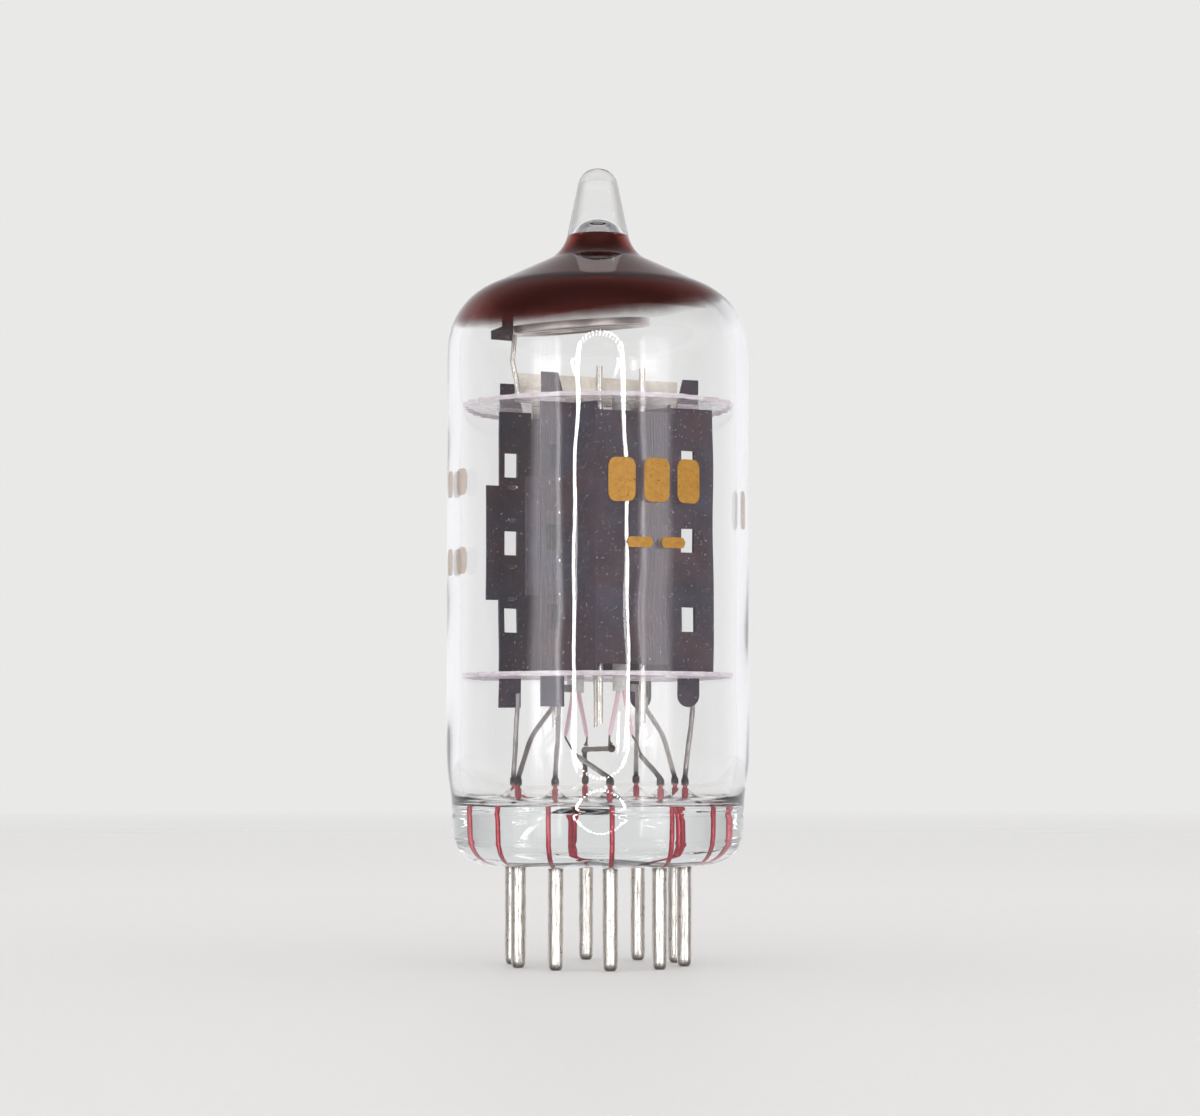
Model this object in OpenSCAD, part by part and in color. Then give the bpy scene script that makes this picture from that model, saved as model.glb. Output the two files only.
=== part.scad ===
// Nine-pin miniature twin triode tube.
// Upright on its pins, Z along the glass, origin on the axis at the level of the pin tips.
// The key gap of the pin circle faces +Y, so the middle pin of the nine faces -Y.

/* [Glass bulb] */
// Height from the pin tips to the sealed tip of the glass
overall_h = 54.8; // [53.5:0.1:56]
// Outside diameter of the straight wall
bulb_d = 20.7; // [20.4:0.1:22]
// Wall thickness of the bulb
bulb_wall = 0.85; // [0.6:0.05:0.95]
// Height of the shoulder, dome and tip above the straight wall
crown_h = 12.6; // [12.2:0.1:13.4]
// Outside radius of the shoulder
shoulder_r = 4.7; // [4:0.1:5.4]
// Radius of the slow bend between the straight wall and the shoulder
ease_r = 16; // [8:1:20]
// Angle of that slow bend
ease_turn = 5; // [2:0.5:7]
// Slope of the dome above the shoulder, from level
dome_slope = 25; // [20:1:28]
// Radius from the axis at which the dome turns up into the tip
dome_top_r = 3.5; // [3.2:0.1:4.2]
// Hollow radius between dome and tip
neck_r = 2.5; // [2:0.1:3]
// Radius of the rounded end of the tip
tip_r = 1.4; // [1.2:0.1:1.6]
// Taper of the tip, from upright
tip_taper = 12; // [8:1:15]
// Length of solid glass at the sealed tip
tip_solid = 3.8; // [3.5:0.1:4.2]
// Radius of the hollow under the sealed tip
tip_hollow_r = 1.15; // [1:0.05:1.25]
// Height of the drawn-in foot of the wall above the seal
foot_h = 4.4; // [3.6:0.1:5]
// Depth of the groove round the foot of the wall
groove_depth = 0.24; // [0.1:0.01:0.3]
// Height of the groove above the seal
groove_rise = 1.2; // [1:0.05:1.4]
// Half width of the groove
groove_w = 0.9; // [0.6:0.05:1.1]

/* [Glass base] */
// Length of pin below the glass
pin_length = 6.85; // [6:0.05:7.5]
// Thickness of the pressed glass base
base_h = 4.05; // [3.6:0.05:4.6]
// How far the seal is set in from the straight wall
seal_step = 0.15; // [0.05:0.05:0.3]
// Radius of the rounded lower edge
base_round = 2.8; // [2:0.1:3.2]
// Radius of the inside corner at the seal
seal_fillet = 0.8; // [0.4:0.1:1.1]
// Radius of the glass pip around each lead
pip_r = 1.3; // [1:0.1:1.6]
// Height of the glass pip around each lead
pip_h = 1.2; // [0.8:0.1:1.5]

/* [Pins and seal wires] */
// Diameter of the pin circle
pin_circle_d = 11.89; // [11.5:0.01:12.3]
// Angle between neighbouring pins
pin_pitch = 36; // [34:0.5:38]
// Diameter of a pin
pin_d = 1.016; // [0.9:0.001:1.1]
// Diameter of the neck of a pin where the glass holds it
pin_neck_d = 0.6; // [0.45:0.01:0.75]
// Length of neck below the glass
pin_neck_h = 0.12; // [0.05:0.01:0.3]
// Depth of the pin in the glass
pin_sunk = 0.5; // [0.3:0.1:0.9]
// Length of the tapered pin end
pin_point_h = 0.6; // [0.4:0.1:1]
// Radius of the blunt end of a pin
pin_point_r = 0.24; // [0.15:0.01:0.35]
// Diameter of a seal wire
seal_wire_d = 0.3; // [0.22:0.01:0.45]
// Length of seal wire that stands out of its pip
seal_wire_out = 0.15; // [0.05:0.05:0.4]
// Diameter of a lead
lead_d = 0.34; // [0.26:0.01:0.45]
// Diameter of the weld knot at the foot of a lead
knot_d = 0.52; // [0.46:0.01:0.7]
// Height of the weld knot at the foot of a lead
knot_h = 0.5; // [0.3:0.05:0.7]
// How far in, and how far up, a grid lead has its bend, as parts of its run
swing_in = 0.35; // [0.2:0.05:0.5]
swing_up = 0.6; // [0.4:0.05:0.8]

/* [Micas] */
// Height of the underside of the lower mica
mica_z = 19.5; // [19:0.1:20]
// Height of the straight wall above the upper mica
head_h = 4; // [3.6:0.1:4.4]
// Thickness of a mica
mica_t = 0.3; // [0.2:0.05:0.4]
// Depth of the teeth round the edge
tooth_depth = 0.28; // [0.1:0.02:0.4]
// Number of teeth round the edge
tooth_count = 36; // [24:1:48]

/* [Anodes] */
// Turn of the electrodes from the pin circle, half a pin pitch
mount_turn = -18; // [-24:1:-12]
// Distance between the middle planes of the two anodes
anode_gap = 7.1; // [6.4:0.1:7.3]
// Thickness of the anode sheet
sheet_t = 0.13; // [0.1:0.01:0.16]
// Half width of the anode to the edge of its flange
flange_u = 5.9; // [5.8:0.02:6.1]
// Half width of the box at the flange
box_u = 3.4; // [3.1:0.1:3.7]
// Half width of the flat face of the box
box_face_u = 2.7; // [2.5:0.1:2.9]
// Depth of the box on each side of the flange
box_depth = 1.7; // [1.4:0.1:2]
// Height of the notch at each end of the box face
notch_h = 0.55; // [0.3:0.05:0.9]
// Edge of the wide cooling fin
fin_u = 7.04; // [6.8:0.02:7.2]
// Edge of the crimped ear
ear_u = 6.9; // [6.5:0.1:7.2]
// Height of the crimped ear
ear_h = 7.9; // [7:0.1:8.5]
// Distance of the windows from the middle
window_u = 5.03; // [4.9:0.01:5.1]
// Width of a window
window_w = 1; // [0.7:0.05:1.2]
// Height of a window
window_h = 1.65; // [1:0.05:2]
// Distance between windows
window_pitch = 5.35; // [4.8:0.05:5.6]
// Distance of the inner crimps from mid height
crimp_inner = 1.6; // [1.3:0.05:1.9]
// Distance of the outer crimps from mid height
crimp_outer = 3.85; // [3.3:0.05:4]
// Width of a crimp
crimp_w = 0.65; // [0.4:0.05:0.8]
// Height of a crimp
crimp_h = 0.28; // [0.2:0.02:0.35]
// Inner edge of a mica tab
tab_u = 4.24; // [4.1:0.02:4.4]
// Slant of the inner edge of an upper tab
tab_slant = 0.45; // [0.2:0.05:0.7]
// Height of an upper tab above its mica
tab_above = 1.7; // [1.2:0.1:2]
// Length of a lower tab below its mica
tab_below = 2; // [1.6:0.1:2.4]

/* [Grids] */
// Diameter of a grid side rod
rod_d = 0.45; // [0.35:0.01:0.5]
// Distance between the two side rods of a grid
rod_span = 3.2; // [2.9:0.1:3.4]
// Length of side rod above the upper mica
rod_above = 2.3; // [1.8:0.1:2.6]
// Length of side rod below the lower mica
rod_below = 3.3; // [2.8:0.1:3.6]
// Slant of the sheared lower end of a side rod
rod_cut = 35; // [0:1:45]
// Diameter of the grid wire
grid_wire_d = 0.12; // [0.1:0.01:0.16]
// Rise of one turn of grid wire
grid_pitch = 0.85; // [0.7:0.05:1.2]
// Space between the wound length and the micas
grid_margin = 1; // [0.8:0.1:1.5]
// Space between the cathode sleeve and the grid wire
grid_clear = 0.3; // [0.25:0.05:0.45]

/* [Cathodes and heaters] */
// Outside diameter of a cathode sleeve
sleeve_d = 1.15; // [1.05:0.01:1.3]
// Wall of a cathode sleeve
sleeve_wall = 0.06; // [0.05:0.01:0.1]
// Length of sleeve above the upper mica
sleeve_above = 0.5; // [0.3:0.1:1]
// Length of sleeve below the lower mica
sleeve_below = 0.9; // [0.7:0.1:1.2]
// Width of a cathode ribbon
ribbon_w = 0.5; // [0.4:0.05:0.7]
// Thickness of a cathode ribbon
ribbon_t = 0.1; // [0.08:0.01:0.15]
// Diameter of the coated heater wire
heater_d = 0.3; // [0.24:0.01:0.34]
// Distance between the two legs of a heater inside the sleeve
heater_span = 0.36; // [0.32:0.01:0.5]
// Distance below the upper mica at which the heater folds back
heater_drop = 1.5; // [1:0.1:3]
// Spread of the heater legs at their lower ends
heater_spread = 1.7; // [1.2:0.1:2]
// Length of the spread legs
heater_leg = 3; // [2.5:0.1:3.2]
// Diameter of the bare heater tails
tail_d = 0.14; // [0.1:0.01:0.2]
// Drop from the heater legs to the wire that joins two of them
bridge_drop = 0.9; // [0.7:0.1:1.2]
// Drop from the heater legs to the tops of the outer heater leads
tail_drop = 1.5; // [1.2:0.1:1.8]
// Reach of the long tail from the second heater towards its lead
long_tail = 2.5; // [2:0.1:3]
// Distance of a cathode lead from the middle plane of its anode
ribbon_reach = 1.2; // [1:0.1:1.4]

/* [Getter] */
// Outside diameter of the getter ring
getter_d = 9.8; // [9:0.1:10.2]
// Width of the getter channel
channel_w = 0.95; // [0.8:0.05:1.2]
// Height of the getter channel
channel_h = 0.62; // [0.5:0.02:0.8]
// Sheet thickness of the getter channel
channel_t = 0.12; // [0.1:0.01:0.16]
// Outside radius of the lower corners of the getter channel
channel_r = 0.2; // [0.12:0.01:0.28]
// Height of the middle of the getter ring above the upper mica
getter_rise = 5.5; // [5.2:0.1:5.8]
// Shift of the getter ring towards its post
getter_shift = 1.45; // [1.2:0.05:1.7]
// Roll of the getter ring, up on the side away from the post
getter_roll = 6.5; // [0:0.5:7]
// Lean of the getter ring, down on the side of the first triode
getter_lean = 3.5; // [0:0.5:7]
// How full the getter channel is
fill_level = 0.6; // [0.3:0.1:0.9]
// Width of the lug beside the getter ring
bracket_w = 1.5; // [1.2:0.1:1.7]
// Height of the upright flag of the lug
bracket_flag = 0.9; // [0.6:0.1:1.1]
// Diameter of the getter post
post_d = 0.36; // [0.3:0.01:0.45]
// Half length of the strap that carries the post
strap_u = 6.2; // [6:0.05:6.3]
// Height of the strap
strap_h = 2; // [1.6:0.1:2.2]
// Thickness of the strap
strap_t = 0.16; // [0.12:0.01:0.2]
// Width of a strap lug
lug_w = 1.1; // [0.8:0.1:1.4]
// Distance of the strap lugs from the middle
lug_u = 4.4; // [4:0.1:4.8]
// Length of a strap lug below the mica
lug_below = 0.8; // [0.5:0.1:1.2]
// Thickness of the getter film
film_t = 0.05; // [0.03:0.01:0.08]
// Height of the edge of the film on the axis above the straight wall
film_rise = 3.2; // [2.7:0.1:3.7]
// Slope of the edge of the film, down at the front
film_lean = 13; // [6:1:14]
// Direction of the low side of the film, from -Y
film_turn = -68; // [-180:1:180]

/* [Fits] */
// Clearance round metal that is sealed in glass
seal_gap = 0.01; // [0.005:0.005:0.03]
// Clearance of the mica teeth in the bulb
bulb_gap = 0.15; // [0.1:0.01:0.3]
// Clearance round what passes through a mica
mica_gap = 0.03; // [0.02:0.01:0.06]
// Clearance at a spot weld
weld_gap = 0.02; // [0.01:0.01:0.05]
// Clearance under the getter ring
getter_gap = 0.09; // [0.05:0.01:0.15]

/* [Hidden] */
$fn = 48;

// Number of pins, and the pin that faces away from the key gap
pin_count = 9;
middle_pin = 5;
// Steps along an arc of a turned outline
arc_steps = 10;
// Steps along the foot of the wall
foot_steps = 20;
// Steps along the outline of a glass pip and of a pin end
pip_steps = 8;
point_steps = 6;
// Sides of the grid wire, and its points in each turn
grid_wire_sides = 5;
grid_turn_steps = 12;
// How far a cutting tool reaches past what it cuts, and how far joined shapes run into each other
past = 1;
into = 0.3;
// Joints of bent wires are this much fuller than the wire
bead = 1.02;

bulb_r = bulb_d / 2;
inner_r = bulb_r - bulb_wall;
seal_r = bulb_r - seal_step;
shoulder_z = overall_h - crown_h;
film_z = shoulder_z + film_rise;
seal_z = pin_length + base_h;
pip_z = seal_z + pip_h;
lead_z = pip_z + seal_wire_out;
pin_top = pin_length + pin_sunk;
pin_circle_r = pin_circle_d / 2;

lower_z = mica_z + mica_t;
top_z = shoulder_z - head_h;
upper_z = top_z - mica_t;
anode_h = upper_z - lower_z;
mid_z = (lower_z + upper_z) / 2;
mica_r = inner_r - bulb_gap;
plane = anode_gap / 2;
rod_u = rod_span / 2;
sleeve_foot = mica_z - sleeve_below;

// How far the middle of a lead lies from the face that it is welded to
weld_off = lead_d / 2 * bead + weld_gap;
// Where leads are welded to anode tabs, side rods and ribbons
tab_weld_z = mica_z - tab_below / 2;
rod_weld_z = mica_z - rod_below / 2;
ribbon_z = sleeve_foot + ribbon_w / 2;
// Where the heater tails end
heater_z = sleeve_foot - heater_leg;
bridge_z = heater_z - bridge_drop;
tail_z = heater_z - tail_drop;
tail_gap = tail_d / 2 + weld_gap;

getter_r = getter_d / 2;
getter_z = top_z + getter_rise;
getter_edge = getter_shift + getter_r;
// Just below the low side of the getter ring
getter_low = getter_z - getter_r * sin(getter_roll) - channel_h / 2 - getter_gap;

// Points of an arc
function arc(centre, r, from, to) =
    [for (i = [0:arc_steps])
        let (a = from + (to - from) * i / arc_steps)
        centre + r * [cos(a), sin(a)]];

function reversed(list) = [for (i = [len(list) - 1:-1:0]) list[i]];

// Points of the dome from the straight wall to the axis, set in from the outside surface
function dome(inset, cap_r, cap_top) =
    let (
        ease = [bulb_r - ease_r, shoulder_z - (ease_r - shoulder_r) * sin(ease_turn)],
        shoulder = ease + (ease_r - shoulder_r) * [cos(ease_turn), sin(ease_turn)],
        turn = 90 - dome_slope,
        bend = shoulder + shoulder_r * [cos(turn), sin(turn)],
        top = [dome_top_r, bend.y + (bend.x - dome_top_r) * tan(dome_slope)],
        hollow = top + neck_r * [sin(dome_slope), cos(dome_slope)],
        cap = [0, cap_top - cap_r]
    )
    concat(
        arc(ease, ease_r - inset, 0, ease_turn),
        arc(shoulder, shoulder_r - inset, ease_turn, turn),
        arc(hollow, neck_r + inset, 270 - dome_slope, 180 + tip_taper),
        arc(cap, cap_r, tip_taper, 90)
    );

function outer_dome() = dome(0, tip_r, overall_h);

// The inside of the dome, or a surface a little way in from it
function inner_dome(inset) =
    dome(bulb_wall + inset, tip_hollow_r - inset, overall_h - tip_solid - inset);

// Outside radius of the drawn-in foot of the wall, from the seal at 0 to the straight length at 1
function foot_r(t) =
    let (off = (t * foot_h - groove_rise) / groove_w)
    seal_r + seal_step * (1 - cos(180 * t)) / 2 - groove_depth * exp(-off * off);

// The place of a pin on its circle, counted from the middle pin
module at_pin(k) {
    rotate([0, 0, (k - middle_pin) * pin_pitch])
        translate([0, -pin_circle_r, 0])
            children();
}

// The frame of the electrodes: X along the anodes, the first triode on the side of -Y
module in_mount() {
    rotate([0, 0, mount_turn])
        children();
}

// The foot of a lead in the frame of the electrodes
function foot(k) =
    let (a = (k - middle_pin) * pin_pitch - mount_turn)
    [pin_circle_r * sin(a), -pin_circle_r * cos(a), lead_z];

// A round rod between two points
module rod(from, to, d) {
    run = to - from;
    length = norm(run);
    translate(from)
        rotate([0, acos(run.z / length), atan2(run.y, run.x)])
            cylinder(h = length, d = d);
}

// A bent round wire through a list of points
module wire(points, d) {
    for (i = [1:len(points) - 1])
        rod(points[i - 1], points[i], d);
    if (len(points) > 2)
        for (i = [1:len(points) - 2])
            translate(points[i])
                sphere(d = d * bead);
}

// The point a short way past the end of a straight run
function beyond(from, to, reach) = to + (to - from) * reach / norm(to - from);

module glass_bulb() {
    corner = [inner_r - seal_fillet, seal_z + seal_fillet];
    foot = [for (i = [0:foot_steps]) [foot_r(i / foot_steps), seal_z + foot_h * i / foot_steps]];
    color("lightcyan", 0.4)
        rotate_extrude()
            polygon(concat(foot, outer_dome(), reversed(inner_dome(0)), arc(corner, seal_fillet, 0, -90)));
}

// The glass that rises round a lead
module pip() {
    bell = [for (i = [pip_steps:-1:0])
        [pip_r * i / pip_steps, seal_z + pip_h * (1 + cos(180 * i / pip_steps)) / 2]];
    rotate_extrude()
        polygon(concat([[0, seal_z - into], [pip_r, seal_z - into]], bell));
}

module button_stem() {
    edge = [seal_r - base_round, pin_length + base_round];
    color("lightcyan", 0.4)
        difference() {
            union() {
                rotate_extrude()
                    polygon(concat(
                        [[0, pin_length]],
                        arc(edge, base_round, -90, 0),
                        [[seal_r, seal_z], [0, seal_z]]
                    ));
                for (k = [1:pin_count])
                    at_pin(k)
                        pip();
            }
            for (k = [1:pin_count])
                at_pin(k) {
                    translate([0, 0, pin_length - past])
                        cylinder(h = past + pin_sunk, d = pin_neck_d + 2 * seal_gap);
                    translate([0, 0, pin_length])
                        cylinder(h = pip_z - pin_length + past, d = seal_wire_d + 2 * seal_gap);
                }
        }
}

module pin(k) {
    pin_r = pin_d / 2;
    neck_r = pin_neck_d / 2;
    neck_z = pin_length - pin_neck_h;
    point = [for (i = [0:point_steps])
        let (a = 90 * i / point_steps)
        [pin_point_r + (pin_r - pin_point_r) * sin(a), pin_point_h * (1 - cos(a))]];
    color("silver")
        at_pin(k)
            rotate_extrude()
                polygon(concat(
                    [[0, 0]], point,
                    [[pin_r, neck_z], [neck_r, neck_z], [neck_r, pin_top], [0, pin_top]]
                ));
}

module seal_wire(k) {
    color("indianred")
        at_pin(k)
            translate([0, 0, pin_top])
                cylinder(h = lead_z - pin_top, d = seal_wire_d);
}

// A lead rises from a knot on its seal wire through the points of its route
module lead(k, route) {
    start = foot(k);
    color("darkgray")
        in_mount() {
            translate(start)
                cylinder(h = knot_h, d = knot_d);
            wire(concat([start + [0, 0, knot_h / 2]], route), lead_d);
        }
}

// Anode leads run up against a lower tab
module anode_lead(k, u, y) {
    lead(k, [[u, y, mica_z - tab_below - into], [u, y, tab_weld_z]]);
}

// A grid lead swings in from the pin circle and ends beside its side rod
module grid_lead(k, side) {
    start = foot(k);
    target = side * [rod_u, -plane, 0];
    reach = [target.x - start.x, target.y - start.y, 0];
    beside = target - reach / norm(reach) * ((rod_d + lead_d) / 2 + weld_gap);
    rise = rod_weld_z - lead_z;
    lead(k, [
        start + swing_in * reach + [0, 0, swing_up * rise],
        [beside.x, beside.y, rod_weld_z - lead_d],
        [beside.x, beside.y, rod_weld_z + lead_d]
    ]);
}

// The top of a cathode lead, level with its ribbon
function ribbon_end(side) = side * [rod_u + ribbon_w / 2, -plane + ribbon_reach, 0] + [0, 0, ribbon_z];

module cathode_lead(k, side) {
    top = ribbon_end(side);
    lead(k, [top - [0, 0, 2 * ribbon_w], top + [0, 0, ribbon_w / 2]]);
}

module mica_disc(z) {
    teeth = [for (i = [0:2 * tooth_count - 1])
        let (r = mica_r - (i % 2) * tooth_depth, a = 180 * i / tooth_count)
        r * [cos(a), sin(a)]];
    color("lavenderblush", 0.8)
        in_mount()
            difference() {
                translate([0, 0, z])
                    linear_extrude(mica_t)
                        polygon(teeth);
                translate([0, 0, z - past])
                    linear_extrude(mica_t + 2 * past)
                        mica_holes();
            }
}

module mica_holes() {
    for (y = [-plane, plane]) {
        for (side = [-1, 1]) {
            translate([side * rod_u, y])
                circle(d = rod_d + 2 * mica_gap);
            translate([side * (tab_u + flange_u) / 2, y - sheet_t / 2])
                square([flange_u - tab_u + 2 * mica_gap, sheet_t + 2 * mica_gap], center = true);
        }
        translate([0, y])
            circle(d = sleeve_d + 2 * mica_gap);
    }
}

module lower_mica() {
    mica_disc(mica_z);
}

module upper_mica() {
    difference() {
        mica_disc(upper_z);
        in_mount()
            for (side = [-1, 1])
                translate([side * lug_u, 0, upper_z + mica_t / 2])
                    cube([lug_w + 2 * mica_gap, strap_t + 2 * mica_gap, mica_t + 2 * past], center = true);
    }
}

// The bent section of one half of an anode, from its left edge to its right edge
module anode_section(left, right) {
    slant = atan((box_u - box_face_u) / box_depth);
    out = sheet_t * (1 / cos(slant) - tan(slant));
    polygon([
        [-left, 0], [-box_u, 0], [-box_face_u, -box_depth],
        [box_face_u, -box_depth], [box_u, 0], [right, 0],
        [right, -sheet_t], [box_u + out, -sheet_t], [box_face_u + out, -box_depth - sheet_t],
        [-box_face_u - out, -box_depth - sheet_t], [-box_u - out, -sheet_t], [-left, -sheet_t]
    ]);
}

// What is cut through both halves of an anode
module anode_cuts() {
    for (side = [-1, 1])
        for (row = [-1:1])
            translate([side * window_u, 0, mid_z + row * window_pitch])
                cube([window_w, 2 * past, window_h], center = true);
    for (z = [-crimp_outer, -crimp_inner, crimp_inner, crimp_outer])
        translate([-window_u, 0, mid_z + z])
            cube([crimp_w, 2 * past, crimp_h], center = true);
    for (z = [lower_z, upper_z])
        translate([0, -box_depth, z])
            cube([2 * box_face_u - sheet_t, 2 * past, 2 * notch_h], center = true);
}

// A flat outline drawn in X and Z, with its back on the plane between the halves
module in_sheet() {
    rotate([90, 0, 0])
        linear_extrude(sheet_t)
            children();
}

module anode_tabs() {
    lower_w = flange_u - tab_u;
    in_sheet() {
        for (side = [-1, 1])
            polygon([
                [side * tab_u, upper_z - into], [side * tab_u, top_z],
                [side * (tab_u + tab_slant), top_z + tab_above],
                [side * flange_u, top_z + tab_above], [side * flange_u, upper_z - into]
            ]);
        translate([-flange_u, mica_z - tab_below])
            square([lower_w, tab_below + mica_t + into]);
        translate([tab_u, mica_z - tab_below + lower_w / 2])
            square([lower_w, tab_below + mica_t + into - lower_w / 2]);
        translate([tab_u + lower_w / 2, mica_z - tab_below + lower_w / 2])
            circle(d = lower_w);
    }
}

// The half that carries the mica tabs and the wide fin
module anode_front(y) {
    color("dimgray")
        in_mount()
            translate([0, y, 0]) {
                difference() {
                    translate([0, 0, lower_z])
                        linear_extrude(anode_h)
                            anode_section(flange_u, fin_u);
                    anode_cuts();
                }
                anode_tabs();
            }
}

// The half that carries the crimped ear
module anode_back(y) {
    color("dimgray")
        in_mount()
            translate([0, y, 0])
                difference() {
                    union() {
                        translate([0, 0, lower_z])
                            linear_extrude(anode_h)
                                mirror([0, 1])
                                    anode_section(flange_u, flange_u);
                        translate([-ear_u, 0, mid_z - ear_h / 2])
                            cube([ear_u - flange_u + into, sheet_t, ear_h]);
                    }
                    mirror([0, 1, 0])
                        anode_cuts();
                }
}

module grid_rod(side, y) {
    color("gainsboro")
        in_mount()
            translate([side * rod_u, y, mica_z - rod_below])
                difference() {
                    cylinder(h = rod_below + top_z - mica_z + rod_above, d = rod_d);
                    translate([-rod_d / 2, 0, 0])
                        rotate([0, -rod_cut, 0])
                            translate([-past, -past, -2 * past])
                                cube([4 * past, 2 * past, 2 * past]);
                }
}

// One fine wire wound round both side rods of a grid, and bowed clear of the cathode
module grid_winding(y) {
    wire_r = grid_wire_d / 2;
    half_w = rod_u + rod_d / 2 + weld_gap + grid_wire_d;
    half_d = sleeve_d / 2 + grid_clear + wire_r;
    turns = floor((anode_h - 2 * grid_margin) / grid_pitch);
    path = [for (i = [0:turns * grid_turn_steps])
        let (turn = i / grid_turn_steps)
        [half_w * cos(360 * turn), y + half_d * sin(360 * turn), lower_z + grid_margin + grid_pitch * turn]];
    color("lightgray")
        in_mount()
            tube_along(path, wire_r, grid_wire_sides);
}

// A closed tube with a ring of points square to the path at each of its points
module tube_along(path, r, sides) {
    last = len(path) - 1;
    points = [for (i = [0:last])
        let (
            run = path[min(i + 1, last)] - path[max(i - 1, 0)],
            along = run / norm(run),
            flat = cross([0, 0, 1], along),
            across = flat / norm(flat),
            up = cross(along, across)
        )
        for (s = [0:sides - 1])
            let (a = 360 * s / sides)
            path[i] + r * (cos(a) * across + sin(a) * up)];
    walls = [for (i = [0:last - 1], s = [0:sides - 1])
        let (a = i * sides + s, b = i * sides + (s + 1) % sides)
        each [[a, a + sides, b + sides], [a, b + sides, b]]];
    start = [for (s = [0:sides - 1]) s];
    end = [for (s = [sides - 1:-1:0]) last * sides + s];
    polyhedron(points, concat(walls, [start, end]));
}

module cathode(y) {
    length = sleeve_below + top_z - mica_z + sleeve_above;
    color("gainsboro")
        in_mount()
            translate([0, y, sleeve_foot])
                difference() {
                    cylinder(h = length, d = sleeve_d);
                    translate([0, 0, -past])
                        cylinder(h = length + 2 * past, d = sleeve_d - 2 * sleeve_wall);
                }
}

// The flat ribbon from a cathode sleeve to its lead
module cathode_ribbon(side) {
    sleeve = side * [0, -plane, 0];
    end = ribbon_end(side);
    run = [end.x - sleeve.x, end.y - sleeve.y];
    near = sleeve_d / 2 + weld_gap;
    far = norm(run) - weld_off;
    color("silver")
        in_mount()
            translate([sleeve.x, sleeve.y, ribbon_z - ribbon_w / 2])
                rotate([0, 0, atan2(run.y, run.x)])
                    translate([near, -ribbon_t / 2, 0])
                        cube([far - near, ribbon_t, ribbon_w]);
}

// A coated hairpin in the sleeve, its legs spread below, and the bare tail of each leg
module heater(y, left_end, right_end) {
    fold_z = upper_z - heater_drop - heater_span / 2;
    legs = [[-1, left_end], [1, right_end]];
    in_mount() {
        color("mistyrose") {
            translate([0, y, fold_z])
                rotate([90, 0, 0])
                    rotate_extrude(angle = 180)
                        translate([heater_span / 2, 0])
                            circle(d = heater_d);
            for (leg = legs)
                wire([
                    [leg[0] * heater_span / 2, y, fold_z],
                    [leg[0] * heater_span / 2, y, sleeve_foot],
                    [leg[0] * heater_spread / 2, y, heater_z]
                ], heater_d);
        }
        color("dimgray")
            for (leg = legs)
                rod([leg[0] * heater_spread / 2, y, heater_z + into], leg[1], tail_d);
    }
}

// The wire under the heaters that joins one leg of each, and where a tail meets its top
function bridge_end(side) = side * [heater_spread / 2, plane + lead_d, 0] + [0, 0, bridge_z];
function on_bridge(y) =
    let (t = y / bridge_end(1).y)
    [bridge_end(1).x * t, y, bridge_z + lead_d / 2 + tail_gap];

// The tops of the two outer heater leads
function heater_lead_a() = [rod_u, -plane, tail_z];
function heater_lead_b() = [-heater_spread / 2, plane - long_tail, tail_z];

module getter_strap() {
    color("wheat")
        in_mount() {
            translate([-strap_u, -strap_t / 2, top_z])
                cube([2 * strap_u, strap_t, strap_h]);
            for (side = [-1, 1])
                translate([side * lug_u - lug_w / 2, -strap_t / 2, upper_z - lug_below])
                    cube([lug_w, strap_t, lug_below + mica_t + into]);
        }
}

module getter_post() {
    y = -(strap_t + post_d) / 2 - weld_gap;
    color("silver")
        in_mount()
            wire([
                [-strap_u + post_d / 2, y, top_z + post_d],
                [-getter_edge - post_d / 2, y, top_z + strap_h + 2 * post_d],
                [-getter_edge, y, getter_low]
            ], post_d);
}

// The lug that the ring is welded to, with its upright flag
module getter_bracket() {
    foot_z = getter_low - post_d;
    knee_z = getter_low + channel_h;
    flag_w = bracket_w / 2;
    color("dimgray")
        in_mount()
            translate([-getter_edge - weld_gap, strap_t / 2, 0])
                rotate([90, 0, 0])
                    linear_extrude(strap_t)
                        polygon([
                            [0, foot_z], [0, getter_z + bracket_flag], [-flag_w, getter_z + bracket_flag],
                            [-flag_w, knee_z], [-bracket_w, knee_z - flag_w / 2], [-bracket_w, foot_z]
                        ]);
}

module at_getter() {
    in_mount()
        translate([-getter_shift, 0, getter_z])
            rotate([getter_lean, -getter_roll, 0])
                children();
}

module getter_ring() {
    in_r = getter_r - channel_w;
    inside_r = channel_r - channel_t;
    left = [in_r + channel_r, channel_r];
    right = [getter_r - channel_r, channel_r];
    color("silver")
        at_getter()
            translate([0, 0, -channel_h / 2])
                rotate_extrude()
                    polygon(concat(
                        [[in_r, channel_h]], arc(left, channel_r, 180, 270), arc(right, channel_r, 270, 360),
                        [[getter_r, channel_h], [getter_r - channel_t, channel_h]],
                        arc(right, inside_r, 360, 270), arc(left, inside_r, 270, 180),
                        [[in_r + channel_t, channel_h]]
                    ));
}

module getter_fill() {
    width = channel_w - 2 * channel_t - 2 * weld_gap;
    color("darkslategray")
        at_getter()
            translate([0, 0, channel_r - channel_h / 2])
                rotate_extrude()
                    translate([getter_r - channel_t - weld_gap - width, 0])
                        square([width, (channel_h - channel_r) * fill_level]);
}

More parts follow.
